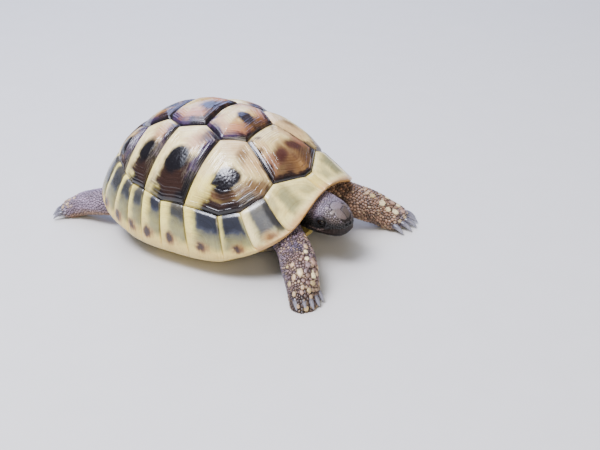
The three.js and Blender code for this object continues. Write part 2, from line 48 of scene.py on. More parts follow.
shell = {
    "length": 145.0, "width": 0.762, "height": 0.488,  # width and height in shares of the length
    "rimFront": 0.247, "rimSide": 0.061, "rimRear": 0.157, "clearance": 6.0,  # the rim's heights
    "outlineFront": 3.2, "outlineRear": 2.55, "sweepFront": 4.8, "sweepRear": 2.7,
    "plateau": (2.2, 1.98, 2.22), "slope": (1.75, 0.72, 1.17),  # at the side, front and rear
    "flare": 1.6, "flareAt": 26, "flareWide": 9,  # the rim swings out over the forelimbs
    "thick": 2.5, "rimThick": 3.6, "gap": 0.12, "bulge": 2.1, "rimBulge": 0.6,
    "slopeTo": 0.96, "step": 0.004,  # how far out the slope is measured, and over what step
}
shellLength = shell["length"]

# Lengths below are millimetres, measured from under the crown of the shell, with z up from
# the floor, x ahead and y to the animal's left. shellPlace is that point in the frame.
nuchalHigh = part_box("nuchal")[1]
crownLow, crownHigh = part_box("vertebral_3")
shellPlace = np.array([nuchalHigh.x - shellLength / 2000, (crownLow.y + crownHigh.y) / 2, 0.0])
fullTurn = 2 * math.pi


def srgb(code):
    parts = [int(code[i:i + 2], 16) / 255 for i in (1, 3, 5)]
    return tuple(p / 12.92 if p <= 0.04045 else ((p + 0.055) / 1.055) ** 2.4 for p in parts)


def paletteOf(**codes):
    return {key: np.array(srgb(code)) for key, code in codes.items()}


def smooth(value, low, high):
    t = np.clip((value - low) / (high - low), 0, 1)
    return t * t * (3 - 2 * t)


def mix(a, b, share):
    return a + (b - a) * share


def unit(v):
    return v / np.maximum(np.linalg.norm(v, axis=-1, keepdims=True), 1e-9)


def ridge(value, at, wide, high):
    # A rounded ridge, or a groove if high is below zero, where value comes to at.
    return high * np.exp(-((value - at) / wide) ** 2)


def readTriples(owner, field):
    flat = np.zeros(len(owner) * 3, np.float32)
    owner.foreach_get(field, flat)
    return flat.reshape(-1, 3)


def readPoints(piece):
    return readTriples(piece.data.vertices, "co").astype(float)


def readNormals(piece):
    return readTriples(piece.data.vertex_normals, "vector").astype(float)


def writePoints(piece, points):
    piece.data.vertices.foreach_set("co", np.asarray(points, np.float32).ravel())
    piece.data.update()


def toFrame(millimetres):
    return np.asarray(millimetres) / 1000 + shellPlace


def fromFrame(metres):
    return (np.asarray(metres) - shellPlace) * 1000


def setMarks(piece, name, values):
    # Keeps a number or a colour at each point, for the material to read.
    values = np.asarray(values, np.float32)
    if values.ndim == 1:
        piece.data.attributes.new(name, "FLOAT", "POINT").data.foreach_set("value", values)
        return
    colours = np.hstack([values, np.ones((len(values), 1), np.float32)])
    piece.data.attributes.new(name, "FLOAT_COLOR", "POINT").data.foreach_set("color", colours.ravel())


def bumps(points, size, seed):
    # Even noise of about -1 to 1 at points in millimetres, with lumps of the given size.
    return np.array([noise.noise(Vector((p[0] / size + seed, p[1] / size, p[2] / size))) for p in points])


def curveAt(a, b, c, d, t):
    # A smooth curve through four points, at the share t of the way from b to c.
    return 0.5 * (2 * b + (c - a) * t + (2 * a - 5 * b + 4 * c - d) * t * t
                  + (3 * b - a - 3 * c + d) * t ** 3)


def atBearing(reach, bearing):
    return np.stack([reach * np.cos(bearing), reach * np.sin(bearing)], -1)


def pick(*pieces):
    # Selects these pieces alone, with the first of them active.
    bpy.ops.object.select_all(action="DESELECT")
    for piece in pieces:
        piece.select_set(True)
    bpy.context.view_layer.objects.active = pieces[0]


# weld: how near points of a laid grid merge, in metres; crease: the degrees that stay sharp.
laying = {"weld": 2e-6, "crease": 50}


def laidGrid(name, columns, rows, place):
    # A grid from the add menu whose points are laid at place(column, row), then welded.
    bpy.ops.mesh.primitive_grid_add(x_subdivisions=columns, y_subdivisions=rows, size=2)
    piece = bpy.context.object
    piece.name = name
    flat = readPoints(piece)
    column = np.rint((flat[:, 0] + 1) / 2 * columns).astype(int)
    row = np.rint((flat[:, 1] + 1) / 2 * rows).astype(int)
    points, marks = place(column, row)
    writePoints(piece, toFrame(points))
    for mark, values in marks.items():
        setMarks(piece, mark, values)
    pick(piece)
    bpy.ops.object.mode_set(mode="EDIT")
    bpy.ops.mesh.select_all(action="SELECT")
    bpy.ops.mesh.remove_doubles(threshold=laying["weld"])
    bpy.ops.mesh.normals_make_consistent(inside=False)
    bpy.ops.object.mode_set(mode="OBJECT")
    bpy.ops.object.shade_smooth_by_angle(angle=math.radians(laying["crease"]))
    return piece


def joined(name, parts):
    pick(*parts)
    bpy.ops.object.join()
    parts[0].name = name
    parts[0].data.name = name
    return parts[0]


def applied(piece, kind, **settings):
    bpy.context.view_layer.objects.active = piece
    modifier = piece.modifiers.new(kind.title(), kind)
    for setting, value in settings.items():
        setattr(modifier, setting, value)
    bpy.ops.object.modifier_apply(modifier=modifier.name)
    return piece


def finished(piece, slotName, material, *nodes):
    # Dresses a piece and places it in the model: its body and the nodes it stands for. slotName is not used.
    piece.data.materials.clear()
    piece.data.materials.append(material)
    for layer in [a for a in piece.data.uv_layers if a.name != "OFBake"]:
        piece.data.uv_layers.remove(layer)
    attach(piece, "root")
    if nodes:
        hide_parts(*nodes)


def feed(tree, node, inputs):
    # Links sockets to a node's inputs, or sets a number or a hex colour on them.
    for socket, value in inputs.items():
        if isinstance(value, bpy.types.NodeSocket):
            tree.links.new(value, node.inputs[socket])
        elif isinstance(value, str):
            node.inputs[socket].default_value = (*srgb(value), 1)
        else:
            node.inputs[socket].default_value = value


def addNode(tree, kind, inputs=None, out=0, **settings):
    # Adds a node with its settings and links, and gives back one of its outputs.
    node = tree.nodes.new(kind)
    for setting, value in settings.items():
        setattr(node, setting, value)
    feed(tree, node, inputs or {})
    return node.outputs[out]


def newMaterial(name):
    material = bpy.data.materials.new(name)
    material.use_nodes = True
    return material, material.node_tree, material.node_tree.nodes["Principled BSDF"]


asColours = {"data_type": "RGBA"}
asStain = {"data_type": "RGBA", "blend_type": "MULTIPLY"}


# Keratin scute, grown in rings and polished by wear: a deep gloss over pigment laid down ring
# by ring. The pigment attribute is its colour and the ring attribute counts the growth rings.
def scuteHorn(name, look):
    material, tree, shader = newMaterial(name)
    pigment = addNode(tree, "ShaderNodeAttribute", out="Color", attribute_name="pigment")
    ring = addNode(tree, "ShaderNodeAttribute", out="Fac", attribute_name="ring")
    place = addNode(tree, "ShaderNodeTexCoord", out="Object")
    growth = addNode(tree, "ShaderNodeTexNoise", {
        "W": ring, "Scale": 3.6, "Detail": 4.0, "Roughness": 0.7}, noise_dimensions="1D")
    cloud = addNode(tree, "ShaderNodeTexNoise", {
        "Vector": place, "Scale": 1 / 0.006, "Detail": 4.0, "Roughness": 0.6})
    fleck = addNode(tree, "ShaderNodeTexNoise", {
        "Vector": place, "Scale": 1 / 0.0011, "Detail": 3.0, "Roughness": 0.65})
    colour = pigment
    for pattern, low, high, amount, stain in (
            (growth, 0.44, 0.66, look["lines"], look["line"]),
            (cloud, 0.42, 0.68, look["clouds"], look["cloud"]),
            (fleck, 0.55, 0.75, 0.3, "#8d7c66")):
        share = addNode(tree, "ShaderNodeMapRange", {
            "Value": pattern, "From Min": low, "From Max": high, "To Max": amount})
        colour = addNode(tree, "ShaderNodeMix", {0: share, 6: colour, 7: stain}, 2, **asStain)
    worn = addNode(tree, "ShaderNodeMapRange", {
        "Value": fleck, "From Min": 0.35, "From Max": 0.7,
        "To Min": look["roughLow"], "To Max": look["roughHigh"]})
    lines = addNode(tree, "ShaderNodeBump", {"Strength": 0.5, "Distance": 0.00009, "Height": growth})
    scuffs = addNode(tree, "ShaderNodeBump", {
        "Strength": 0.3, "Distance": 0.00007, "Height": fleck, "Normal": lines})
    feed(tree, shader, {"Base Color": colour, "Roughness": worn, "IOR": 1.55, "Normal": scuffs})
    return material


studio = {
    "camera": (320.15, -414.74, 289.71),
    "right": (0.8559, 0.5141, -0.0555), "up": (-0.2108, 0.4451, 0.8703),  # how the camera is turned
    "lens": 59.3, "sensor": 36, "near": 0.01,
    "floor": "#cbc9c4", "floorGrain": "#c6c4bf", "air": "#dfe3ea", "airStrength": 0.3,
    "lights": (  # place and aim in metres, size, power in watts, colour
        ("sky softbox", (-0.32, -0.1, 1.15), (0, 0, 0.03), (1.7, 0.8), 24, "#e6edff"),
        ("small key softbox", (-0.12, -0.46, 1.1), (0, 0, 0.04), (0.56, 0.36), 25, "#f1f0ff"),
        ("back softbox", (-0.75, 0.95, 0.85), (0, 0, 0.05), (1.1, 0.9), 18, "#b0c0ff"),
        ("front softbox", (0.85, -0.85, 0.65), (0, 0, 0.03), (0.6, 0.6), 9, "#fff1dc")),
}

# Painted board: matt and pale, with a mottle too faint to name, so the shadows read softly.
board, tree, shader = newMaterial("matt painted board")
place = addNode(tree, "ShaderNodeTexCoord", out="Object")
mottle = addNode(tree, "ShaderNodeTexNoise", {"Vector": place, "Scale": 1 / 0.02, "Detail": 4.0})
painted = addNode(tree, "ShaderNodeMix", {
    0: mottle, 6: studio["floor"], 7: studio["floorGrain"]}, 2, **asColours)
feed(tree, shader, {"Base Color": painted, "Roughness": 0.8})

bpy.ops.mesh.primitive_circle_add(vertices=96, radius=5, fill_type="NGON")
floor = bpy.context.object
floor.name = "floor"
floor.data.materials.append(board)

for name, place, aim, size, power, colour in studio["lights"]:
    bpy.ops.object.light_add(type="AREA", location=place)
    lamp = bpy.context.object
    lamp.name = name
    lamp.rotation_euler = (Vector(aim) - Vector(place)).to_track_quat("-Z", "Y").to_euler()
    lamp.data.shape = "RECTANGLE"
    lamp.data.size, lamp.data.size_y = size
    lamp.data.energy = power
    lamp.data.color = srgb(colour)

world = bpy.context.scene.world or bpy.data.worlds.new("studio")
bpy.context.scene.world = world
world.use_nodes = True
air = {"Color": studio["air"], "Strength": studio["airStrength"]}
feed(world.node_tree, world.node_tree.nodes["Background"], air)

cameraRight = unit(np.array(studio["right"]))
cameraUp = unit(np.array(studio["up"]) - cameraRight * (cameraRight @ np.array(studio["up"])))
cameraBack = np.cross(cameraRight, cameraUp)
bpy.ops.object.camera_add()
camera = bpy.context.object
camera.name = "front right camera"
cameraTurn = Matrix(np.array([cameraRight, cameraUp, cameraBack]).T.tolist()).to_4x4()
camera.matrix_world = Matrix.Translation(Vector(toFrame(studio["camera"]))) @ cameraTurn
camera.data.lens = studio["lens"]
camera.data.sensor_width = studio["sensor"]
camera.data.clip_start = studio["near"]
bpy.context.scene.camera = camera
print("studio set")


def rimRadius(bearing):
    bearing = np.arctan2(np.sin(bearing), np.cos(bearing))
    power = np.where(np.cos(bearing) >= 0, shell["outlineFront"], shell["outlineRear"])
    along = np.abs(np.cos(bearing)) * 2
    across = np.abs(np.sin(bearing)) * 2 / shell["width"]
    plain = shellLength * (along ** power + across ** power) ** (-1 / power)
    off = (np.abs(bearing) - math.radians(shell["flareAt"])) / math.radians(shell["flareWide"])
    return plain + shell["flare"] * np.exp(-off * off)


def rimHeight(bearing):
    front = np.maximum(np.cos(bearing), 0) ** shell["sweepFront"]
    rear = np.maximum(-np.cos(bearing), 0) ** shell["sweepRear"]
    share = shell["rimSide"] + (shell["rimFront"] - shell["rimSide"]) * front \
        + (shell["rimRear"] - shell["rimSide"]) * rear
    return shellLength * share + shell["clearance"]


def blendPower(powers, bearing):
    front = np.maximum(np.cos(bearing), 0) ** 2
    rear = np.maximum(-np.cos(bearing), 0) ** 2
    return powers[1] * front + powers[2] * rear + powers[0] * (1 - front - rear)


def domePoint(bearing, share):
    turn = np.clip(share, 0, 1) * math.pi / 2
    out = np.sin(turn) ** (2 / blendPower(shell["plateau"], bearing))
    up = np.maximum(np.cos(turn), 0) ** (2 / blendPower(shell["slope"], bearing))
    reach = rimRadius(bearing) * out
    low = rimHeight(bearing)
    top = shellLength * shell["height"] + shell["clearance"]
    return np.stack([reach * np.cos(bearing), reach * np.sin(bearing), low + (top - low) * up], -1)


def shareOf(spot):
    bearing = np.arctan2(spot[..., 1], spot[..., 0])
    return np.hypot(spot[..., 0], spot[..., 1]) * shellLength / rimRadius(bearing)


def shellPoint(spot):
    return domePoint(np.arctan2(spot[..., 1], spot[..., 0]), shareOf(spot))


def shellNormal(spot):
    # The rim is too steep to measure, so a spot there takes the slope from just above it.
    share, highest = np.maximum(shareOf(spot), 1e-6), shell["slopeTo"]
    base = spot * np.where(share > highest, highest / share, 1.0)[..., None]
    stepX, stepY = np.array([shell["step"], 0]), np.array([0, shell["step"]])
    alongX = shellPoint(base + stepX) - shellPoint(base - stepX)
    alongY = shellPoint(base + stepY) - shellPoint(base - stepY)
    return unit(np.cross(alongX, alongY))


# Where the seams meet on the left side, in shares of the length; the right side is the mirror.
# rimSeams are the degrees from straight ahead at which the seams reach the rim.
seam = {
    "nuchal": (0.323, 0.017), "v1c1": (0.261, 0.112), "v1v2": (0.141, 0.061),
    "v2c2": (0.081, 0.093), "v2v3": (0.025, 0.066), "v3c3": (-0.038, 0.084),
    "v3v4": (-0.081, 0.06), "v4c4": (-0.141, 0.08), "v4v5": (-0.197, 0.051),
    "v5m11": (-0.281, 0.11), "v5rear": (-0.317, 0.055), "c1m2": (0.262, 0.156),
    "c1m3": (0.226, 0.219), "c1m4": (0.17, 0.254), "c1c2": (0.056, 0.264),
    "c2m6": (-0.028, 0.268), "c2c3": (-0.095, 0.25), "c3m8": (-0.147, 0.236),
    "c3c4": (-0.186, 0.209), "c4m10": (-0.238, 0.165), "tail": (-0.327, 0),
}
rimSeams = (2.6, 25.5, 40, 55, 74.5, 94, 108.6, 119, 132, 143.5, 155, 167, 180)


def corner(name, side):
    return np.array([seam[name][0], seam[name][1] * side])


def insetOutline(corners, inset):
    count = len(corners)
    alongs = [unit(corners[(i + 1) % count] - corners[i]) for i in range(count)]
    starts = [corners[i] + np.array([-alongs[i][1], alongs[i][0]]) * inset for i in range(count)]
    moved = []
    for i in range(count):
        before = (i - 1) % count
        gap = starts[i] - starts[before]
        cross = alongs[before][0] * alongs[i][1] - alongs[before][1] * alongs[i][0]
        reach = (gap[0] * alongs[i][1] - gap[1] * alongs[i][0]) / cross
        moved.append(starts[before] + alongs[before] * reach)
    return moved


scute = {
    "columns": 132, "rows": 64, "closer": 1.12, "closing": (1, 0.5, 0),  # rows crowd at the seam
    "rings": 9, "areola": 0.27, "spread": 1.12, "ridge": 0.3,  # areola: share of the oldest part
    "wobble": 0.12, "waves": 3, "crest": 0.75, "groove": 0.7, "line": 0.16, "lineEach": 5.3,
    "edgeFall": 0.95, "edgeWide": 1.5, "edgePower": 1.6,
    "dome": 2.2, "grain": (1.1, 0.05), "lumps": (9, 0.16),  # grain and lumps: size and height
}
ringSeed = 13.0  # keeps the growth lines of one scute apart from the next one's


def ringRelief(number, edgeMillimetres, strength):
    # Rounded rings with narrow grooves between, finer lines on them, and a fall at the seam.
    crest = np.abs(np.sin(number * math.pi)) ** scute["crest"] - scute["groove"]
    variety = 0.6 + 0.4 * np.sin(np.rint(number) * 2.7 + 0.6)
    line = scute["line"] * np.sin(number * scute["lineEach"] * math.pi + 1.1)
    fall = scute["edgeFall"] * (1 - smooth(edgeMillimetres, 0, scute["edgeWide"])) ** scute["edgePower"]
    return strength * (crest * variety + line) * smooth(number, 0.15, 0.9) - fall


def layOutline(corners, columns):
    # Splits the outline into columns and shares them among the sides by length.
    count = len(corners)
    sizes = np.array([np.linalg.norm(corners[(i + 1) % count] - corners[i]) for i in range(count)])
    ends = np.rint(np.cumsum(sizes) / sizes.sum() * columns).astype(int)
    starts = np.concatenate([[0], ends[:-1]])
    edge = np.zeros((columns + 1, 2))
    for i in range(count):
        steps = max(ends[i] - starts[i], 1)
        for j in range(steps + 1):
            edge[starts[i] + j] = mix(corners[i], corners[(i + 1) % count], j / steps)
    edge[columns] = edge[0]
    return edge


def domeScute(name, corners, middle, look, seed):
    edge = layOutline(insetOutline(corners, shell["gap"] / 2 / shellLength), scute["columns"])
    outwards = 1 - (1 - np.linspace(0, 1, scute["rows"] + 1)) ** scute["closer"]
    rings = np.concatenate([outwards, scute["closing"]])
    side = np.sign(middle[1]) if abs(middle[1]) > 0.01 else 0
    grainSize, grainHigh = scute["grain"]
    lumpSize, lumpHigh = scute["lumps"]

    def downFlank(y):
        # On the middle row both halves run down their own flank.
        return y * side if side else np.abs(y)

    def place(column, row):
        ring = rings[row]
        spot = mix(middle[None, :], edge[column], ring[:, None])
        toEdge = (edge[column] - middle) * shellLength
        reach = np.linalg.norm(toEdge, axis=1)
        direction = toEdge / reach[:, None]
        grown = np.clip((ring - scute["areola"]) / (1 - scute["areola"]), 0, 1)
        wobble = scute["wobble"] * np.sin(column / scute["columns"] * fullTurn * scute["waves"] + seed)
        number = scute["rings"] * grown ** scute["spread"] + wobble * smooth(grown, 0, 0.3)
        surface, normal = shellPoint(spot), shellNormal(spot)
        lift = shell["bulge"] * (1 - ring ** scute["dome"])
        lift = lift + ringRelief(number, (1 - ring) * reach, scute["ridge"])
        rough = bumps(surface, grainSize, seed) * grainHigh * (1 - smooth(ring, 0.2, 0.42))
        rough = rough + bumps(surface, lumpSize, seed) * lumpHigh * (1 - ring ** 4)
        lift = np.where(row <= scute["rows"], lift + rough, -shell["thick"])
        offset = (spot - middle) * shellLength
        offset[:, 1] = downFlank(offset[:, 1])
        colour = look(ring, direction[:, 0], downFlank(direction[:, 1]), offset, reach, number, surface)
        return surface + normal * lift[:, None], {"ring": number + seed * ringSeed, "pigment": colour}

    return laidGrid(name, scute["columns"], len(rings) - 1, place)


# The plum and the slate are dark pigment with a painted blue-purple sky reflection in their tint; the sage is
# grey-green horn partly tinted by painted green bounced light.
hornPalette = paletteOf(
    cream="#f7e7a6", straw="#e8d47a", sand="#dab974", tan="#b88549", peach="#b87a64", olive="#756342",
    bark="#573726", umber="#2f1f1a", plum="#3a2a4c", ink="#121015", slate="#3b4050", sage="#5f6852",
    butter="#fbec84", rust="#613c28", maroon="#482a26", amber="#cfa76c")

# The edges of the marks stray with the growth lines and with lumps: size, seed and how far.
markEdge = {
    "seed": 5, "steps": 400, "from": 40, "lineEach": 3.1, "byLine": 0.28,
    "lumps": ((4.2, 2, 1.3), (1.3, 4, 0.5)), "firm": 0.45,  # firm: a spot's share of that
    "bandSlope": 9,  # millimetres that a band deepens by, from straight across to its heading
}


def laidPigment(base, marks, number, surface, depthInside):
    # Lays marks over a base colour, in turn, by how many millimetres inside each a point lies.
    steps = np.random.default_rng(markEdge["seed"]).normal(size=markEdge["steps"])
    line = number * markEdge["lineEach"] + markEdge["from"]
    wander = markEdge["byLine"] * np.interp(line, np.arange(len(steps)), steps)
    for size, seed, far in markEdge["lumps"]:
        wander = wander + far * bumps(surface, size, seed)
    colour = np.tile(hornPalette[base], (len(number), 1))
    for mark in marks:
        soft, amount = mark[-2:]
        loose = markEdge["firm"] if mark[0] == "spot" or mark[1] == "butter" else 1
        share = amount * smooth(depthInside(mark) + loose * wander, -soft, soft)
        colour = mix(colour, hornPalette[mark[1]], share[:, None])
    return colour


def turnOf(degrees):
    return math.cos(math.radians(degrees)), math.sin(math.radians(degrees))


def ovalDepth(u, v, long, wide):
    return (1 - np.hypot(u / long, v / wide)) * min(long, wide)


# A band lies along the sides that face its heading, from a ring outwards; a spot is an oval.
# Heading 0 is ahead and 90 is down the flank. Places and sizes are in millimetres from the
# areola. Both end with how soft the edge is, in millimetres, and how strong the colour is.
def pigment(base, marks):
    def look(ring, ahead, down, offset, reach, number, surface):
        def depthInside(mark):
            if mark[0] == "band":
                heading, spread, start = mark[2:5]
                c, s = turnOf(heading)
                facing = ahead * c + down * s
                aside = (facing - turnOf(spread)[0]) * markEdge["bandSlope"]
                return np.minimum((ring - start) * reach, aside)
            x, y, long, wide, slant = mark[2:7]
            c, s = turnOf(slant)
            u = (offset[:, 0] - x) * c + (offset[:, 1] - y) * s
            v = -(offset[:, 0] - x) * s + (offset[:, 1] - y) * c
            return ovalDepth(u, v, long, wide)
        return laidPigment(base, marks, number, surface, depthInside)
    return look


# The plum bands are dark new growth along the seams, with a painted blue-purple sky reflection in their
# colour.
vertebralLooks = [
    pigment("sand", [
        ("band", "cream", 180, 80, 0.35, 3, 0.75), ("band", "tan", 0, 85, 0.25, 2.5, 0.7),
        ("band", "olive", 60, 45, 0.45, 2.5, 0.75), ("spot", "olive", 6, 7.5, 6, 4.5, 20, 2.5, 0.8),
        ("spot", "bark", 4.8, 3, 6.4, 5.2, 20, 2.6, 0.7),
        ("band", "bark", 30, 70, 0.6, 1.6, 0.5), ("spot", "maroon", 1.3, 4.6, 4.2, 2.6, 58, 1.5, 0.95),
        ("spot", "maroon", 5.4, -1, 3.8, 2.2, 14, 1.8, 0.7), ("band", "peach", 108, 36, 0.55, 1.6, 0.4),
        ("band", "umber", 88, 62, 0.84, 0.9, 1), ("band", "umber", 20, 62, 0.83, 0.9, 1),
        ("band", "ink", 60, 80, 0.93, 0.5, 0.9)]),
    pigment("sand", [
        ("band", "cream", 180, 88, 0.25, 3, 0.8), ("band", "tan", 0, 80, 0.35, 2.5, 0.8),
        ("band", "peach", 88, 50, 0.5, 2.2, 0.7), ("spot", "rust", 7.5, 3.5, 3.5, 3.5, 0, 2.5, 0.8),
        ("spot", "ink", 2.6, 0, 3.2, 2.8, 0, 0.8, 1), ("spot", "umber", 5.4, 0.6, 4.2, 2.2, 0, 1.5, 0.7),
        ("band", "plum", 88, 58, 0.82, 1.2, 1), ("band", "umber", 0, 56, 0.82, 1.2, 1),
        ("band", "ink", 60, 90, 0.94, 0.5, 0.9), ("band", "umber", 180, 40, 0.95, 0.7, 0.7)]),
    pigment("sand", [
        ("band", "straw", 180, 85, 0.25, 3, 0.8), ("band", "tan", 0, 85, 0.3, 2.5, 0.8),
        ("band", "peach", 88, 50, 0.4, 2.2, 0.8), ("spot", "umber", 7.6, 1, 4.2, 3, 0, 1.8, 0.8),
        ("spot", "ink", 5, 0.4, 3, 2.1, 0, 0.9, 1), ("band", "plum", 88, 56, 0.74, 1.6, 1),
        ("band", "umber", 0, 62, 0.7, 1.8, 1), ("band", "ink", 60, 90, 0.92, 0.7, 0.9),
        ("band", "umber", 180, 40, 0.94, 0.7, 0.6)]),
    pigment("sand", [
        ("band", "straw", 180, 80, 0.35, 3, 0.7), ("band", "tan", 0, 100, 0.25, 2.5, 0.8),
        ("band", "bark", 88, 60, 0.5, 2.2, 0.8), ("spot", "ink", 3, 0, 3.8, 3.2, 0, 1.2, 1),
        ("band", "plum", 88, 60, 0.7, 1.6, 1), ("band", "umber", 0, 70, 0.6, 2, 1),
        ("band", "ink", 60, 90, 0.9, 0.8, 0.9)]),
    pigment("sand", [
        ("band", "straw", 180, 70, 0.5, 3, 0.8), ("band", "bark", 0, 110, 0.25, 2.5, 0.8),
        ("spot", "ink", 2, 0, 5, 4.5, 0, 1.6, 1), ("band", "plum", 88, 60, 0.66, 2, 0.95),
        ("band", "umber", 0, 70, 0.55, 2, 1)]),
]
costalLooks = [
    pigment("cream", [
        ("band", "sand", 0, 70, 0.35, 3, 0.5), ("band", "peach", -90, 50, 0.45, 2.4, 0.4),
        ("band", "olive", 66, 66, 0.26, 1.8, 0.9), ("spot", "bark", 0.6, -8, 3, 1.8, 60, 1.4, 0.7),
        ("band", "bark", 52, 76, 0.44, 1.8, 0.85), ("band", "straw", 66, 40, 0.62, 0.8, 0.3),
        ("spot", "umber", 2.2, 6.2, 5, 2.6, 15, 1.6, 0.85), ("spot", "ink", -0.3, 1.9, 5.9, 4.1, -35, 0.8, 1),
        ("band", "umber", 62, 56, 0.66, 0.9, 1), ("band", "ink", 64, 54, 0.82, 0.9, 0.95),
        ("band", "umber", 0, 45, 0.93, 0.6, 0.8), ("band", "butter", 138, 20, 0.35, 0.8, 0.9)]),
    pigment("cream", [
        ("spot", "peach", 4, -6.5, 5, 3.6, -50, 2.5, 0.75), ("band", "olive", 60, 75, 0.2, 2.2, 0.7),
        ("band", "bark", 78, 56, 0.28, 1.6, 0.95), ("spot", "bark", 6.4, -10, 4, 2.6, -60, 1.6, 0.95),
        ("spot", "umber", 2.4, 5, 6, 5, 45, 2, 0.85),
        ("band", "umber", 88, 56, 0.28, 1.4, 1), ("band", "plum", -2, 52, 0.64, 1.3, 1),
        ("band", "ink", 88, 50, 0.68, 1.5, 0.95), ("band", "ink", 0, 60, 0.86, 0.9, 0.9),
        ("band", "cream", 166, 24, 0.3, 1.2, 0.95), ("band", "butter", 150, 12, 0.8, 1.2, 0.9),
        ("spot", "umber", -2, 7.5, 6.5, 5, 82, 1.4, 0.95),
        ("spot", "ink", -1.2, 1.5, 5.4, 4.3, -38, 0.8, 1)]),
    pigment("cream", [
        ("spot", "peach", 4, -6, 5, 3.6, -50, 2.5, 0.7), ("band", "olive", 60, 75, 0.2, 2.2, 0.7),
        ("band", "bark", 85, 56, 0.32, 1.6, 0.95), ("spot", "umber", 2, 4.5, 5, 4.5, 45, 2, 0.8),
        ("band", "umber", 92, 54, 0.3, 1.4, 1),
        ("band", "plum", -5, 54, 0.6, 1.4, 1), ("band", "ink", 92, 48, 0.72, 1.3, 0.95),
        ("band", "ink", 0, 60, 0.85, 0.9, 0.9), ("band", "cream", 168, 24, 0.3, 1.2, 0.9),
        ("band", "butter", 152, 12, 0.8, 1.2, 0.9), ("spot", "umber", -1.2, 6.5, 5.5, 4, 84, 1.4, 0.95),
        ("spot", "ink", -0.7, 1.4, 4.8, 3.2, -50, 1.2, 1)]),
    pigment("sand", [
        ("band", "cream", 180, 60, 0.4, 2.5, 0.8), ("band", "bark", 45, 100, 0.25, 2.2, 0.9),
        ("spot", "ink", 0, 0.8, 4.6, 3.8, -40, 1.0, 1), ("band", "umber", 70, 75, 0.5, 2, 0.95),
        ("band", "plum", 0, 70, 0.58, 2, 1), ("band", "ink", 80, 60, 0.82, 1.3, 0.9)]),
]

vertebrals = [
    (("v1v2", "v1c1", "nuchal"), (0.214, 0)),
    (("v2v3", "v2c2", "v1v2"), (0.078, 0)),
    (("v3v4", "v3c3", "v2v3"), (-0.036, 0)),
    (("v4v5", "v4c4", "v3v4"), (-0.141, 0)),
    (("tail", "v5rear", "v5m11", "v4v5"), (-0.262, 0)),
]
costals = [
    (("v2c2", "c1c2", "c1m4", "c1m3", "c1m2", "v1c1", "v1v2"), (0.15, 0.162)),
    (("v3c3", "c2c3", "c2m6", "c1c2", "v2c2", "v2v3"), (0.012, 0.16)),
    (("v4c4", "c3c4", "c3m8", "c2c3", "v3c3", "v3v4"), (-0.092, 0.15)),
    (("v5m11", "c4m10", "c3c4", "v4c4", "v4v5"), (-0.196, 0.13)),
]

carapaceHorn = scuteHorn("carapace keratin", {
    "lines": 0.5, "line": "#a98d74", "clouds": 0.5, "cloud": "#c3a98c", "roughLow": 0.12, "roughHigh": 0.24})

for i, (left, middle) in enumerate(vertebrals):
    right = [corner(n, -1) for n in left if n != "tail"]
    outline = [corner(n, 1) for n in reversed(left)] + right
    name = f"vertebral_{i + 1}"
    piece = domeScute(name + "_horn", outline, np.array(middle), vertebralLooks[i], 1.0 + i)
    finished(piece, "carapace_horn", carapaceHorn, name)
for side, sideName in ((1, "left"), (-1, "right")):
    for i, (around, middle) in enumerate(costals):
        outline = [corner(n, side) for n in around]
        if side > 0:
            outline.reverse()
        name = f"costal_{sideName}_{i + 1}"
        spot = np.array([middle[0], middle[1] * side])
        piece = domeScute(name + "_horn", outline, spot, costalLooks[i], 8.0 + i + 5 * side)
        finished(piece, "carapace_horn", carapaceHorn, name)
print("vertebral and costal scutes grown")

marginal = {
    "down": 30, "steps": 26, "closer": 0.8,  # steps crowd at the seams
    "rings": 7, "spread": 1.15, "areola": (0.3, 0.8), "ridge": 0.1,  # areola: shares ahead and down
    "lumps": (7, 0.15), "bridge": (49, 58, 114, 123),  # bridge: degrees from straight ahead
    "inside": (0.0, 0.3, 0.6), "run": (0.34, 0.67, 1.0), "seamLine": 12,
    # The turned edge, in from the rim and below it, each first free and then over the bridge.
    "lip": ((5, 5.4), (2.9, 2.2)), "foot": ((2.2, 3.8), (3, 5.4)), "bend": ((0.5, 0.6), (1.8, 3)),
}
marginalTops = [
    ("nuchal", "v1c1", "c1m2"), ("c1m2", "c1m3"), ("c1m3", "c1m4"), ("c1m4", "c1c2"), ("c1c2", "c2m6"),
    ("c2m6", "c2c3"), ("c2c3", "c3m8"), ("c3m8", "c3c4"), ("c3c4", "c4m10"), ("c4m10", "v5m11"),
    ("v5m11", "v5rear"), ("v5rear", "tail"),
]


def bridgeShare(bearing):
    starts, full, thins, ends = marginal["bridge"]
    degrees = np.degrees(np.abs(bearing))
    return smooth(degrees, starts, full) * (1 - smooth(degrees, thins, ends))


def rimLines(tops, fromDegrees, toDegrees):
    # The seam above a rim scute and the rim below it, each drawn in by half the gap: the share of
    # the way at each step, the seam's spots, and the bearings of both lines.
    share = np.linspace(0, 1, marginal["steps"] + 1)
    share = 0.5 - 0.5 * np.sign(0.5 - share) * np.abs(1 - 2 * share) ** marginal["closer"]
    spans = len(tops) - 1
    at = np.clip((share * spans).astype(int), 0, spans - 1)
    tops = np.array(tops)
    spot = mix(tops[at], tops[at + 1], (share * spans - at)[:, None])
    away = unit(spot)
    shift = shell["gap"] / 2 / shellLength
    nudge = np.sign(toDegrees - fromDegrees) * ((share == 0).astype(float) - (share == 1))
    spot = spot + away * shift + np.stack([-away[:, 1], away[:, 0]], 1) * (nudge * shift)[:, None]
    trim = math.degrees(shell["gap"] / 2 / float(rimRadius(np.array(math.radians(fromDegrees)))))
    rimBearing = np.radians(mix(fromDegrees, toDegrees, share) + nudge * trim)
    topBearing = np.arctan2(spot[:, 1], spot[:, 0])
    turns = np.rint((rimBearing - topBearing) / fullTurn)
    return share, spot, topBearing, rimBearing - turns * fullTurn


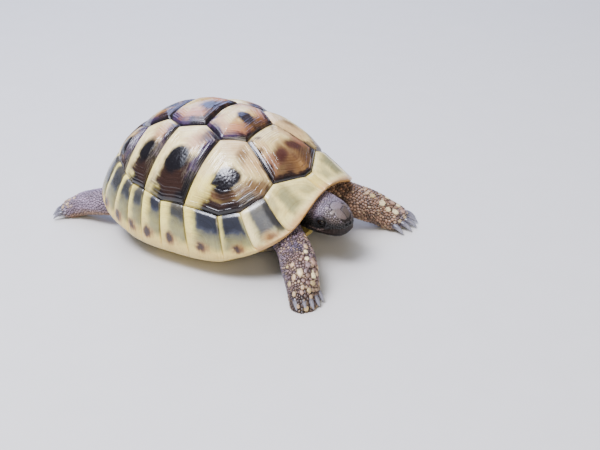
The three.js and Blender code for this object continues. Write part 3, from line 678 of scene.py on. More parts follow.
def rimRings(share, step):
    # Rings spread ahead of and above an areola low in the rear part of the scute.
    aheadAt, downAt = marginal["areola"]
    ahead = 1 - share[:, None] + 0 * step
    aheadPart = np.maximum((ahead - aheadAt) / 0.7, (aheadAt - ahead) / aheadAt * 0.7)
    upPart = (downAt - step + 0 * ahead) / downAt
    spread = (np.maximum(aheadPart, 0) ** 5 + np.maximum(upPart, 0) ** 5) ** 0.2
    return marginal["rings"] * np.clip(spread, 0, 1.3) ** marginal["spread"]


def rimScute(name, tops, fromDegrees, toDegrees, look, seed):
    steps = marginal["steps"]
    share, topSpot, topBearing, rimBearing = rimLines(tops, fromDegrees, toDegrees)
    rim = domePoint(rimBearing, np.ones(steps + 1))
    chord = rim - shellPoint(topSpot)
    sideways = unit(np.stack([-chord[:, 1], chord[:, 0], 0 * chord[:, 0]], 1))
    out = unit(chord * np.array([1, 1, 0]))
    width = np.linalg.norm(np.diff(rim, axis=0), axis=1).sum()
    drop = np.linalg.norm(chord, axis=1)
    bridge = bridgeShare(rimBearing)[:, None]

    def onRim(step):
        bearing = mix(topBearing[:, None], rimBearing[:, None], step)
        reach = rimRadius(bearing) * mix(shareOf(topSpot)[:, None], 1, step) / shellLength
        spot = atBearing(reach, bearing)
        normal = shellNormal(spot)
        across = (normal * sideways[:, None, :]).sum(-1, keepdims=True)
        return shellPoint(spot), unit(normal - across * sideways[:, None, :])

    def turned(edge):
        inwards, low = (mix(free, bridged, bridge) for free, bridged in marginal[edge])
        return rim - out * inwards + np.array([0, 0, -1.0]) * low

    step = np.linspace(0, 1, marginal["down"] + 1)[None, :]
    surface, normal = onRim(step)
    edgeAlong = np.minimum(share, 1 - share)[:, None] * width
    edgeDistance = np.minimum(edgeAlong, step * drop[:, None] + 0 * edgeAlong)
    number = rimRings(share, step)
    relief = ringRelief(number, edgeDistance, marginal["ridge"])
    rise = shell["rimBulge"] * np.sin(math.pi * share)[:, None] * np.sin(math.pi * step * 0.9)
    lift = rise + relief * (1 - 0.6 * smooth(step, 0.85, 1))
    lumpSize, lumpHigh = marginal["lumps"]
    lumps = bumps(surface.reshape(-1, 3), lumpSize, seed).reshape(lift.shape) * lumpHigh
    lift = lift + lumps * smooth(edgeDistance, 0, 2)
    outside = surface + normal * lift[..., None]

    insideTop, insideNormal = onRim(np.array([marginal["inside"]]))
    depth = mix(shell["thick"], shell["rimThick"], np.array([marginal["inside"]]))
    inner = insideTop - insideNormal * depth[..., None]
    # The lip is a smooth run through the bend, the foot and the inner edge.
    lip = turned("lip")
    handles = [outside[:, -1], turned("bend"), turned("foot"), lip, mix(inner[:, 2], lip, 0.5)]
    through = [outside[:, -3]] + handles + [inner[:, 2]]
    run = [curveAt(*through[k:k + 4], t) for k in range(len(handles) - 1) for t in marginal["run"]]
    loop = np.concatenate([outside, np.stack(run, 1), inner[:, ::-1]], 1)
    outerCount, count = outside.shape[1], loop.shape[1]
    loopDown = np.concatenate([np.linspace(0, 1, outerCount), np.linspace(1.02, 1.3, len(run)), [1.4] * 3])

    # Each end closes on the middle line between the outside and the inside.
    line, fold = marginal["seamLine"], outerCount + 6
    lineOut = loop[:, np.linspace(0, fold - 1, line).astype(int)]
    lineIn = loop[:, np.linspace(count - 1, fold + 1, line).astype(int)]
    centre = (lineOut + lineIn) / 2
    nearest = np.concatenate([np.linspace(0, line - 1, fold), np.linspace(line - 1, 0, count - fold)])
    nearest = np.rint(nearest).astype(int)

    def place(column, row):
        at = np.clip(row - 1, 0, steps)
        column = column % count
        points = loop[at, column]
        caps = (row == 0) | (row == steps + 2)
        points[caps] = centre[at[caps], nearest[column[caps]]]
        numbers = number[at, np.clip(column, 0, outerCount - 1)]
        colour = look((1 - share[at]) * width, loopDown[column] * drop[at], width, drop[at], numbers, points)
        return points, {"ring": numbers + seed * ringSeed, "pigment": colour}

    return laidGrid(name, count, steps + 2, place)


# A block of colour on a rim scute: its shares of the way ahead and of the way down to the rim.
# A fleck is round: its middle as shares, and half its length and height in millimetres.
def rimPigment(base, marks):
    def look(ahead, down, width, drop, number, surface):
        def depthInside(mark):
            if mark[0] == "fleck":
                x, y, long, wide = mark[2:6]
                return ovalDepth(ahead - x * width, down - y * drop, long, wide)
            rear, front, high, low = mark[2:6]
            along = np.minimum(ahead - rear * width, front * width - ahead)
            return np.minimum(along, np.minimum(down - high * drop, low * drop - down))
        return laidPigment(base, marks, number, surface, depthInside)
    return look


# The slate blocks are dark patches with a painted bluish sheen in their colour, and a strength below one
# pales them further for that sheen. The sage block is grey-green horn partly tinted by painted green bounced
# light.
def flankLook(rear, front, low, fleckAt, strength=1.0):
    return rimPigment("straw", [
        ("block", "butter", -1, 0.34, -1, 0.45, 2.2, 0.9),
        ("block", "sage", rear - 0.1, 2, 0.05, 0.74, 3.2, 0.8),
        ("block", "slate", rear + 0.05, front + 0.05, -1, low + 0.12, 2.2, 0.5 * strength),
        ("block", "slate", rear, front, -1, low, 1.1, 0.95 * strength),
        ("block", "ink", rear + 0.04, front, -1, low - 0.06, 1.2, 0.6 * strength),
        ("block", "amber", -1, 2, 0.86, 3, 2.2, 0.35),
        ("fleck", "tan", fleckAt, 0.76, 4.6, 4.2, 2.0, 0.6),
        ("fleck", "rust", fleckAt, 0.74, 3, 3.6, 1.3, 0.9),
        ("fleck", "umber", fleckAt - 0.04, 0.72, 2.2, 2.9, 0.9, 0.9)])


# The slate blocks here also carry a painted bluish sheen in their colour.
rimLooks = [
    rimPigment("cream", [
        ("block", "straw", -1, 2, -1, 0.6, 3, 0.6), ("block", "sage", 0.3, 0.62, 0.1, 0.55, 2.4, 0.75),
        ("block", "slate", 0.02, 0.16, 0.04, 0.3, 1.6, 0.4), ("block", "sage", 0.72, 0.9, 0.2, 0.5, 2, 0.5),
        ("block", "amber", -1, 2, 0.68, 3, 3, 0.9), ("block", "tan", 0.05, 0.4, 0.6, 0.9, 3, 0.5),
        ("block", "tan", -1, 2, 0.9, 3, 2, 0.55)]),
    rimPigment("cream", [
        ("block", "sage", 0.2, 2, 0.1, 0.75, 3, 0.7), ("block", "slate", 0.3, 0.97, -1, 0.5, 1.5, 0.85),
        ("block", "ink", 0.75, 0.98, -1, 0.62, 1.3, 0.8), ("block", "amber", -1, 2, 0.78, 3, 2.2, 0.95),
        ("fleck", "tan", 0.5, 0.68, 5, 4, 2.2, 0.7), ("fleck", "rust", 0.52, 0.66, 2.6, 2.6, 1.4, 0.8)]),
    flankLook(0.17, 0.84, 0.38, 0.5), flankLook(0.36, 0.97, 0.37, 0.45),
    flankLook(0.45, 0.98, 0.26, 0.4, 0.75), flankLook(0.5, 0.98, 0.24, 0.4),
    flankLook(0.42, 0.99, 0.3, 0.4, 0.8), flankLook(0.4, 0.97, 0.3, 0.42, 0.85),
    flankLook(0.35, 0.95, 0.36, 0.45, 0.85), flankLook(0.35, 0.95, 0.4, 0.45, 0.85),
    flankLook(0.35, 0.95, 0.45, 0.45, 0.9), flankLook(0.3, 0.95, 0.5, 0.5),
]

rimHorn = scuteHorn("rim keratin", {
    "lines": 0.28, "line": "#b9a684", "clouds": 0.4, "cloud": "#c9b894", "roughLow": 0.16, "roughHigh": 0.28})

for side, sideName in ((1, "left"), (-1, "right")):
    for i, names in enumerate(marginalTops):
        tops = [corner(n, side) for n in names]
        name = f"marginal_{sideName}_{i + 1}" if i < 11 else f"supracaudal_{sideName}"
        start, end = rimSeams[i] * side, rimSeams[i + 1] * side
        piece = rimScute(name + "_horn", tops, start, end, rimLooks[i], 20.0 + i + 15 * side)
        finished(piece, "rim_horn", rimHorn, name)
nuchalLook = rimPigment("straw", [("block", "amber", -1, 2, 0.5, 3, 3, 0.95)])
nuchalTops = [corner("nuchal", -1), corner("nuchal", 1)]
piece = rimScute("nuchal_horn", nuchalTops, -rimSeams[0], rimSeams[0], nuchalLook, 51.0)
finished(piece, "rim_horn", rimHorn, "nuchal")
print("rim scutes grown")

plastron = {
    "bottom": 5.0, "thick": 3.0, "front": 60.0, "rear": -57.0, "notch": 8, "bow": 5,
    "columns": 150, "rows": 110, "narrowest": 6, "besideRim": 4.3,
    "bridge": (30, 37, -27, -20),  # where it joins the rim: full and ended, ahead and behind
    "frontLobe": (30, 16, 46, 2.6), "rearLobe": (30.5, 17, -22, 38, 1.7),  # widths, start, length, power
    "flatTo": 33, "rise": (4.7, 17, 1.6), "frontRise": (2.5, 38, 62), "rearRise": (2, 34, 60),
    "seams": (39, 24, 7, -14, -34), "seamBow": 2.4, "groove": (0.45, 0.9),
    "ringEach": 2.3, "ringHigh": 0.07, "roll": (1.2, 2.4), "lean": (0.55, 14),
    "bands": (6, 24, 2.5, 6.5),  # inner and outer edge of the black, its stray and its wave
}


def rimSide(x):
    power = np.where(x >= 0, shell["outlineFront"], shell["outlineRear"])
    share = np.maximum(1 - np.abs(2 * x / shellLength) ** power, 0)
    return shellLength * shell["width"] / 2 * share ** (1 / power)


def plastronHalfWidth(x):
    wide, start, long, power = plastron["frontLobe"]
    frontLobe = wide * np.maximum(1 - np.clip((x - start) / long, 0, 1) ** power, 0) ** 0.5
    wide, narrow, start, long, power = plastron["rearLobe"]
    rearLobe = mix(wide, narrow, np.clip((start - x) / long, 0, 1) ** power)
    lobe = np.where(x > 0, frontLobe, rearLobe)
    frontFull, frontEnd, rearEnd, rearFull = plastron["bridge"]
    bridge = smooth(-x, -frontEnd, -frontFull) * (1 - smooth(-x, -rearFull, -rearEnd))
    return mix(np.maximum(lobe, plastron["narrowest"]), rimSide(x) - plastron["besideRim"], bridge)


def plastronRise(x, y):
    high, wide, power = plastron["rise"]
    beyond = np.maximum(np.abs(y) - plastron["flatTo"], 0)
    front, frontFrom, frontTo = plastron["frontRise"]
    rear, rearFrom, rearTo = plastron["rearRise"]
    flank = high * (beyond / wide) ** power
    return flank + front * smooth(x, frontFrom, frontTo) + rear * smooth(-x, rearFrom, rearTo)


def plastronPlace(column, row):
    half = plastron["columns"] // 2
    loop = column % plastron["columns"]
    lower = loop < half
    aside = np.where(lower, loop / half, (plastron["columns"] - loop) / half)
    across = np.clip(aside * 2 - 1, -1, 1)
    rear = plastron["rear"] + plastron["notch"] * (1 - np.abs(across)) ** 1.3
    x = mix(rear, plastron["front"] - plastron["bow"] * across * across, row / plastron["rows"])
    wide = plastronHalfWidth(x)
    y = across * wide
    z = plastron["bottom"] + plastronRise(x, y)
    # Seams of the twelve scutes: one down the middle, and five across that bow a little.
    toSeam = np.abs(y + 0.5 * np.sin(x / 9))
    for i, at in enumerate(plastron["seams"]):
        bow = plastron["seamBow"] * np.cos(y / 17) * (1 if i % 2 else -1)
        toSeam = np.minimum(toSeam, np.abs(x - at - bow))
    rings = np.sin(toSeam * 2 * math.pi / plastron["ringEach"]) * plastron["ringHigh"]
    rings = rings * smooth(toSeam, 1, 3) * (1 - smooth(toSeam, 8, 11))
    grooveDeep, grooveWide = plastron["groove"]
    groove = grooveDeep * (1 - smooth(toSeam, 0, grooveWide))
    toEnd = np.minimum(x - rear, plastron["front"] - plastron["bow"] - x)
    edge = np.minimum((1 - np.abs(across)) * wide, toEnd)
    rollHigh, rollWide = plastron["roll"]
    roll = rollHigh * (1 - smooth(edge, 0, rollWide)) ** 2
    lean, leanWide = plastron["lean"]
    lean = lean * smooth(np.abs(y) - plastron["flatTo"], 0, leanWide)
    thick = plastron["thick"]
    points = np.stack([x, np.where(lower, y, y - np.sign(y) * lean * thick),
                       np.where(lower, z + groove + rings + roll, z + thick)], 1)
    ends = (row == 0) | (row == plastron["rows"])
    points[ends, 2] = (z + thick / 2)[ends]
    # Two broken black bands run along either side of the middle seam.
    innerEdge, outerEdge, stray, wave = plastron["bands"]
    inBand = np.minimum(np.abs(y) - innerEdge, outerEdge - np.abs(y))
    inBand = inBand - stray * (0.6 - np.sin(x / wave + 1.2))
    number = toSeam / 1.15
    marks = [("bands", "bark", 2.5, 0.7), ("bands", "ink", 1.2, 0.95)]
    colour = laidPigment("straw", marks, number, np.stack([x, y, z], 1),
                         lambda mark: inBand + (1.5 if mark[1] == "bark" else 0))
    return points, {"ring": number + 70, "pigment": colour}


plastronHorn = scuteHorn("plastron keratin", {
    "lines": 0.7, "line": "#a08662", "clouds": 0.6, "cloud": "#bfa882", "roughLow": 0.28, "roughHigh": 0.42})
piece = laidGrid("plastron_horn", plastron["columns"], plastron["rows"], plastronPlace)
finished(piece, "plastron_horn", plastronHorn, "plastron")
print("plastron laid")

# Stations along each limb are place, half the width and half the depth, from the body outwards.
# flat is the way that the width lies, and a limb that stands is cut level with the floor.
limbs = {
    "front_right": {"flat": (0.5, 0.8, 0.3), "stands": True, "stations": (
        (43, -18.6, 24, 9.4, 9), (55, -22.5, 22.5, 9.8, 8.4), (63.5, -28, 20.5, 9.2, 8.2),
        (70.4, -33.8, 18.5, 9.4, 8.2), (76.8, -40.4, 15.5, 9.8, 8), (81.8, -46.3, 11, 9.3, 7.4),
        (85.4, -51.2, 5.5, 8.3, 6.8), (87.4, -54, -1, 7.8, 6.8)),
        "claws": {"at": (85, -50.3, 6), "heading": -31, "count": 5, "width": 6.5, "reach": 5.8,
                  "bow": 0.6, "run": 5, "tip": 0.9, "radius": 1.75}},
    "front_left": {"flat": (-0.2, 1, 0.25), "stands": False, "stations": (
        (46, 21.4, 27, 9.8, 9), (57, 26.6, 23, 10.4, 9), (67, 31, 18.5, 10.8, 8.8), (75, 35, 15, 10.6, 8.5),
        (81, 38.5, 11.8, 10.3, 8), (86.5, 41.6, 7.8, 9.6, 7.2), (92.5, 43.6, 5.1, 9.2, 6.1),
        (97.6, 44.2, 3.6, 7.6, 3.9)),
        "claws": {"at": (90.6, 43.7, 4.2), "heading": 6, "count": 5, "width": 8.4, "reach": 6.8,
                  "bow": 0.6, "run": 8, "tip": 0.9, "radius": 1.9}},
    "hind_right": {"flat": (0.1, 1, 0.35), "stands": False, "stations": (
        (-42, -18, 17.6, 11.6, 8.4), (-56, -22, 15.2, 11, 7.8), (-68, -25, 13.2, 10, 7.8),
        (-79, -26.5, 11, 9, 7.4), (-88, -27.5, 8, 8.2, 7), (-95, -30, 5, 7.4, 6),
        (-100.5, -33.5, 4.2, 5.6, 4.2)),
        "claws": {"at": (-97, -31.5, 4), "heading": 207, "count": 4, "width": 5, "reach": 3.6,
                  "bow": 0.4, "run": 7, "tip": 0.9, "radius": 1.7}},
    "hind_left": {"flat": (0.9, 0.1, 0), "stands": True, "stations": (
        (-36, 18, 25, 13, 10.5), (-40, 28, 22, 12.5, 10.2), (-43, 37, 17, 11, 9.2), (-44, 43, 11, 9.4, 8.2),
        (-43, 46, 4.5, 9.4, 8.4), (-42.5, 47, -1, 9.4, 8.6)),
        "claws": {"at": (-42.5, 46.5, 4.2), "heading": 48, "count": 4, "width": 6.8, "reach": 6,
                  "bow": 0.4, "run": 6, "tip": 0.9, "radius": 1.8}},
}
neck = {"flat": (0, 1, 0), "stands": False, "stations": (
    (36, 3, 32, 9.4, 11.4), (48, 2, 31, 9, 10.8), (57, -0.5, 29.8, 9.2, 10), (64, -2.6, 28.6, 9.6, 9.4),
    (70, -4.2, 27.8, 9.4, 9.2))}
tail = {"flat": (0, 1, 0), "stands": False, "stations": (
    (-42, 2, 22, 8, 7), (-52, 3, 20, 7, 6.2), (-60, 5.5, 17.5, 5.6, 5), (-66.5, 9, 15, 4.2, 3.8),
    (-71, 13.5, 13, 3, 2.8), (-73.5, 18, 11.6, 1.9, 1.8), (-74.6, 22, 10.5, 1.1, 1.1))}
# Sections of the head are place ahead, half the width, height above the middle and depth below.
head = {"middle": (73.4, -5, 27.4), "turn": -15, "nod": -6, "square": 0.88, "sections": (
    (-17, 9.2, 8.2, 9), (-12.5, 11.2, 9.6, 10.4), (-6.5, 12.4, 10.5, 11), (-0.5, 12, 10.4, 10.5),
    (5, 11.2, 10.1, 9.5), (9.5, 9.9, 9.3, 8.6), (13.4, 8.1, 7.7, 7.5), (15.9, 6.2, 5.6, 6.1),
    (17.3, 3.8, 2.9, 4.2)),
    "eye": (6, 9, 2.1), "eyeRadius": 2.4, "gaze": (0.4, 0.88, 0.18), "nostril": (12, 1.5, 1.9)}
flesh = {
    "coat": 0.45, "headCoat": 0.3, "neckCoat": 0.75,  # depth kept for the scales
    "between": 0.24, "voxel": 0.00088, "smoothings": 7,  # the first is painted shade: how dark the skin is between the scales
    "limbSides": 32, "headSides": 56, "trunkSides": 72, "trunkRows": 30, "trunkFoot": 6,
    "roundEnd": 0.55, "underShell": 0.4, "overPlastron": 2.1,
    "toe": (0.0025, 1.2, 0.1),  # radius in metres, and how far behind and over a claw's root
    "neckFolds": (34, 0.35), "loose": (3.2, 0.35),
}


def runThrough(stations, perSpan):
    table = np.array(stations, float)
    ends = np.vstack([2 * table[0] - table[1], table, 2 * table[-1] - table[-2]])
    rows = [curveAt(*ends[i:i + 4], t) for i in range(len(table) - 1) for t in np.arange(perSpan) / perSpan]
    return np.array(rows + [table[-1]])


def axisOf(limb):
    stations = list(limb["stations"])
    if limb["stands"]:  # one more station under the floor, where the limb is cut
        last, before = np.array(stations[-1], float), np.array(stations[-2], float)
        stations.append(last + (last - before) * np.array([1.2, 1.2, 1.2, 0, 0]))
    table = runThrough(stations, 8)
    centre = table[:, :3]
    along = unit(np.gradient(centre, axis=0))
    flat = np.array(limb["flat"], float)
    wide = unit(flat - (along @ flat)[:, None] * along)
    return centre, table[:, 3], table[:, 4], along, wide, np.cross(along, wide)


def limbTube(name, limb, inset):
    centre, wideSize, deepSize, along, wide, deep = axisOf(limb)
    run = np.concatenate([[0], np.cumsum(np.linalg.norm(np.diff(centre, axis=0), axis=1))])
    toEnd = np.minimum(run, run[-1] - run)
    ball = np.sqrt(np.clip(1 - (1 - np.clip(toEnd / (flesh["roundEnd"] * deepSize), 0, 1)) ** 2, 0, 1))

    def place(column, row):
        angle = column / flesh["limbSides"] * fullTurn
        points = centre[row] + wide[row] * (np.cos(angle) * (wideSize - inset)[row] * ball[row])[:, None]
        return points + deep[row] * (np.sin(angle) * (deepSize - inset)[row] * ball[row])[:, None], {}

    return laidGrid(name, flesh["limbSides"], len(centre) - 1, place)


turned, nodded = (Matrix.Rotation(math.radians(degrees), 3, axis)
                  for degrees, axis in ((head["turn"], "Z"), (-head["nod"], "Y")))
headTurn = np.array(turned @ nodded)
headMiddle = np.array(head["middle"])


def fromHead(points):
    return points @ headTurn.T + headMiddle


def toHead(points):
    return (points - headMiddle) @ headTurn


headTable = runThrough(head["sections"], 6)


def headSize(x, which):
    return np.interp(x, headTable[:, 0], headTable[:, which])


def headBall(inset):
    count = len(headTable)

    def place(column, row):
        at = np.clip(row - 1, 0, count - 1)
        pole = ((row > 0) & (row < count + 1)).astype(float)
        angle = column / flesh["headSides"] * fullTurn
        c, s = np.cos(angle), np.sin(angle)
        height = np.where(s > 0, headTable[at, 2], headTable[at, 3]) - inset
        y = np.sign(c) * np.abs(c) ** head["square"] * (headTable[at, 1] - inset) * pole
        z = np.sign(s) * np.abs(s) ** head["square"] * height * pole
        z = z + (1 - pole) * (headTable[at, 2] - headTable[at, 3]) / 2
        return fromHead(np.stack([headTable[at, 0], y, z], 1)), {}

    return laidGrid("skull", flesh["headSides"], count + 1, place)


def trunkBody():
    # The flesh that fills the shell: its rows run from the middle of the belly, round the edge and
    # up to the crown.
    rows, low = flesh["trunkRows"], flesh["trunkFoot"]
    depth = shell["rimThick"] + flesh["underShell"] + flesh["coat"]
    floorHeight = plastron["bottom"] + plastron["thick"] + flesh["overPlastron"] + flesh["coat"]

    def place(column, row):
        bearing = column / flesh["trunkSides"] * fullTurn
        front = np.maximum(np.cos(bearing), 0) ** 1.5
        rear = np.maximum(-np.cos(bearing), 0) ** 2
        edge = 0.83 - 0.34 * front - 0.2 * rear
        level = np.clip((row - low) / (rows - low), 0, 1)
        share = np.where(row == rows, 0, edge * (1 - level) ** 0.8 + 0.02)
        spot = atBearing(rimRadius(bearing) * share / shellLength, bearing)
        skin = shellPoint(spot) - shellNormal(spot) * depth
        pull = np.where(row < low, row / (low - 1) * 0.88, 1)
        foot = skin * np.stack([pull, pull, 0 * pull], 1)
        foot[:, 2] = floorHeight + plastronRise(foot[:, 0], foot[:, 1])
        return np.where((row < low)[:, None], foot, skin), {}

    return laidGrid("belly", flesh["trunkSides"], rows, place)


def clawRoots(claws):
    heading = math.radians(claws["heading"])
    ahead = np.array([math.cos(heading), math.sin(heading), 0])
    aside = np.array([-ahead[1], ahead[0], 0])
    for i in range(claws["count"]):
        share = i / (claws["count"] - 1) * 2 - 1
        reach = ahead * claws["reach"] * (1 - claws["bow"] * share * share)
        root = np.array(claws["at"]) + aside * share * claws["width"] + reach
        way = unit(ahead + aside * 0.3 * share)
        tip = root + way * claws["run"]
        tip[2] = claws["tip"]
        yield root, way, tip, aside


def fleshBody():
    parts = [trunkBody(), headBall(flesh["headCoat"]), limbTube("throat", neck, flesh["neckCoat"]),
             limbTube("rump", tail, flesh["coat"])]
    radius, back, up = flesh["toe"]
    for name, limb in limbs.items():
        parts.append(limbTube(name, limb, flesh["coat"]))
        for root, way, tip, aside in clawRoots(limb["claws"]):
            place = toFrame(root - way * back + np.array([0, 0, up]))
            bpy.ops.mesh.primitive_uv_sphere_add(segments=16, ring_count=10, radius=radius, location=place)
            parts.append(bpy.context.object)
            bpy.ops.object.transform_apply(location=True, rotation=False, scale=False)
    for part in parts:
        if readPoints(part)[:, 2].min() < 0:
            pick(part)
            bpy.ops.object.mode_set(mode="EDIT")
            bpy.ops.mesh.select_all(action="SELECT")
            bpy.ops.mesh.bisect(plane_co=(0, 0, 0), plane_no=(0, 0, 1), clear_inner=True, use_fill=True)
            bpy.ops.object.mode_set(mode="OBJECT")
    body = joined("skin", parts)
    applied(body, "REMESH", mode="VOXEL", voxel_size=flesh["voxel"])
    applied(body, "SMOOTH", factor=0.5, iterations=flesh["smoothings"])
    return body


def refineHead(body):
    # Finer faces over the head, for the eyelids, the mouth and the nostrils.
    pick(body)
    bpy.ops.object.mode_set(mode="EDIT")
    bpy.ops.mesh.select_mode(type="FACE")
    bpy.ops.mesh.select_all(action="DESELECT")
    bpy.ops.object.mode_set(mode="OBJECT")
    local = toHead(fromFrame(readTriples(body.data.polygons, "center")))
    inHead = (local[:, 0] > -13) & (np.abs(local[:, 1]) < 13) & (np.abs(local[:, 2]) < 12.5)
    body.data.polygons.foreach_set("select", inHead)
    bpy.ops.object.mode_set(mode="EDIT")
    bpy.ops.mesh.subdivide(number_cuts=1, smoothness=0)
    bpy.ops.mesh.vertices_smooth(factor=0.5, repeat=3)
    bpy.ops.mesh.select_mode(type="VERT")
    bpy.ops.object.mode_set(mode="OBJECT")


# Lengths in the head's own frame: x ahead, y aside and z up from its middle. Triples are where a
# ridge or groove runs, how wide it is and how high; mirrored parts are told for the left side.
lids = {"opening": (2.15, 1.45), "slant": 0.1, "over": 0.4, "reach": (2.1, 3.6), "deep": 3.2, "back": -1.5,
        "rim": (1.16, 0.11, 0.2), "crease": (3.3, 0.35, -0.28), "fold": (4.0, 0.4, 0.16)}
mouth = {"low": -4.6, "rise": 0.065, "corner": (1, 2.5, 0.5), "groove": (0, 0.33, -0.55),
         "upperLip": (1.0, 0.7, 0.28), "lowerLip": -0.25, "paleLip": (0.75, 0.4, 0.45)}
beak = {"from": -3.4, "to": 0.6, "run": (3, 15), "deep": 2.6, "starts": (1, 2.5), "streaks": 0.12}
nostril = {"rim": (1.05, 0.35, 0.22), "hole": (0, 0.55, -1.1)}
ear = {"at": (-8, -2), "size": (2.6, 3.6), "deep": -0.4}
brow = {"ridge": (0, 0.7, 0.3), "height": 5.6, "bow": 0.02}


def beakTop(x):
    # Upper edge of the horny beak.
    return mix(beak["from"], beak["to"], smooth(x, *beak["run"]))


def mouthHeight(x):
    return mouth["low"] + (x - 0.5) * mouth["rise"] + ridge(x, *mouth["corner"])


def fromNostril(local):
    ahead, aside, up = head["nostril"]
    return np.hypot(np.abs(local[:, 1]) - aside, local[:, 2] - up) + 9 * (local[:, 0] < ahead)


def fromEye(local):
    mirrored = local * np.array([1, 0, 1]) + np.abs(local) * np.array([0, 1, 0])
    return np.linalg.norm(mirrored - np.array(head["eye"]), axis=1)


def beakShare(local):
    # The bare horn of the upper and lower beak, which ends above the scaled chin.
    x, z = local[:, 0], local[:, 2]
    below = smooth(beakTop(x) - z, -0.3, 0.5)
    above = smooth(z - mouthHeight(x) + beak["deep"] + 0.5 * np.cos(local[:, 1]), -0.3, 0.5)
    return below * above * smooth(x, *beak["starts"])


eyeGaze = unit(np.array(head["gaze"]))
eyeAlong = unit(np.array([1.0, 0, 0]) - eyeGaze * eyeGaze[0])
eyeUp = np.cross(eyeAlong, eyeGaze) * -1


def carveHead(points, normals):
    # Works on the left side's mirror image, so both sides get the same relief.
    side = np.where(points[:, 1] < 0, -1.0, 1.0)
    mirror = np.stack([np.ones(len(side)), side, np.ones(len(side))], 1)
    p, n = points * mirror, normals * mirror
    onHead = smooth(p[:, 0], -13, -10)
    q = p - np.array(head["eye"])
    a, b, c = q @ eyeAlong, q @ eyeUp, q @ eyeGaze
    fromGaze = np.hypot(a, b)
    outer = c > lids["back"]
    wide, tall = lids["opening"]
    opening = np.hypot(a / wide, (b + lids["slant"] * a) / tall)
    ball = np.sqrt(np.maximum((head["eyeRadius"] + lids["over"]) ** 2 - fromGaze ** 2, 0)) + 0.1
    ball = ball - lids["deep"] * (1 - smooth(opening, 0.86, 1.04))
    share = (1 - smooth(fromGaze, *lids["reach"])) * outer
    raised = mix(c, ball + ridge(opening, *lids["rim"]), share)
    crease = ridge(fromGaze, *lids["crease"]) * outer * (c > 0)
    crease = crease + ridge(fromGaze, *lids["fold"]) * outer * (c > 0)
    p = p + eyeGaze * (raised - c + crease)[:, None]
    x, z = points[:, 0], points[:, 2]
    lip = mouthHeight(x)
    mouthRun = smooth(x, -0.5, 2.5) * smooth(n[:, 1] + n[:, 0] * 0.9, 0.15, 0.5)
    lips = ridge(z - lip, *mouth["groove"]) + ridge(z - lip, *mouth["upperLip"])
    lips = lips + mouth["lowerLip"] * smooth(lip - z, 0.3, 1.2) * (1 - smooth(lip - z, 2, 5))
    hole = fromNostril(points)
    holes = ridge(hole, *nostril["rim"]) + ridge(hole, *nostril["hole"])
    earX, earZ = ear["at"]
    drum = ear["deep"] * (1 - smooth(np.hypot(x - earX, (z - earZ) * 1.1), *ear["size"]))
    drum = drum * smooth(n[:, 1], 0.3, 0.6)
    over = ridge(z - brow["height"] + brow["bow"] * (x - 5) ** 2, *brow["ridge"])
    over = over * smooth(x, 0, 2.5) * (1 - smooth(x, 9, 12)) * smooth(n[:, 1], 0.2, 0.5)
    relief = lips * mouthRun + holes + drum + over
    p = p + n * (relief * onHead)[:, None]
    return p * mirror


skinBody = fleshBody()
refineHead(skinBody)
points, normals = fromFrame(readPoints(skinBody)), readNormals(skinBody)
print("skin points", len(points))

# Which part each point belongs to, from its distance to the part's own middle line.
partRuns = {"neck": axisOf(neck), "tail": axisOf(tail)}
partRuns.update({name: axisOf(limb) for name, limb in limbs.items()})
headRun = np.linspace(-16, 15, 24)
partRuns["head"] = (fromHead(np.stack([headRun, 0 * headRun, 0 * headRun], 1)),
                    headSize(headRun, 1), (headSize(headRun, 2) + headSize(headRun, 3)) / 2)
partNames = list(partRuns)
nearPart = {"limit": 1.3, "chunk": 20000}  # limit: times a part's own half width, from its middle line


def placeOnBody(points):
    best = np.full(len(points), 9.0)
    part = np.full(len(points), -1)
    along = np.zeros(len(points))
    for i, name in enumerate(partNames):
        run = partRuns[name]
        centre, size = run[0], (run[1] + run[2]) / 2
        for start in range(0, len(points), nearPart["chunk"]):
            chunk = slice(start, start + nearPart["chunk"])
            block = points[chunk]
            far = np.linalg.norm(block[:, None, :] - centre[None], axis=2) / size[None]
            nearest = far.argmin(1)
            value = far[np.arange(len(block)), nearest]
            better = value < best[chunk]
            best[chunk][better] = value[better]
            part[chunk][better] = i
            along[chunk][better] = nearest[better] / (len(centre) - 1)
    part[best > nearPart["limit"]] = -1
    return part, along


def onPart(part, *names):
    return np.isin(part, [partNames.index(name) for name in names])


part, along = placeOnBody(points)
headMask = onPart(part, "head")
local = toHead(points[headMask])
points[headMask] = fromHead(carveHead(local, normals[headMask] @ headTurn))
# Loose skin: folds round the neck, and a soft unevenness everywhere but on the head.
foldsEach, foldHigh = flesh["neckFolds"]
looseSize, looseHigh = flesh["loose"]
folds = foldHigh * np.sin(along * foldsEach + bumps(points, 6, 3) * 1.5) * onPart(part, "neck")
loose = bumps(points, looseSize, 8) * looseHigh * ~headMask
points = points + normals * (folds + loose)[:, None]
points[:, 2] = np.maximum(points[:, 2], 0)
writePoints(skinBody, toFrame(points))
normals = readNormals(skinBody)
bpy.ops.object.shade_smooth()

palette = paletteOf(
    brown="#94735c", umber="#3b2c25", tan="#bb9f7b", straw="#ecdcab", mauve="#7d6c7b", rose="#97859a",
    crown="#8d8092", snout="#685a54", cheek="#120f0f", beak="#1d1613", toe="#8a8592", neck="#574840",
    plate="#675a51", smudge="#322b30", olive="#b49f70", blush="#ac8c78", lilac="#8a7474", stone="#c9b288",
    lip="#9a8580", violet="#645a70")


def stained(base, colour, value, low, high, amount=1, where=1):
    # Lays a colour over a base, more and more as value goes from low to high.
    return mix(base, palette[colour], amount * where * smooth(value, low, high))


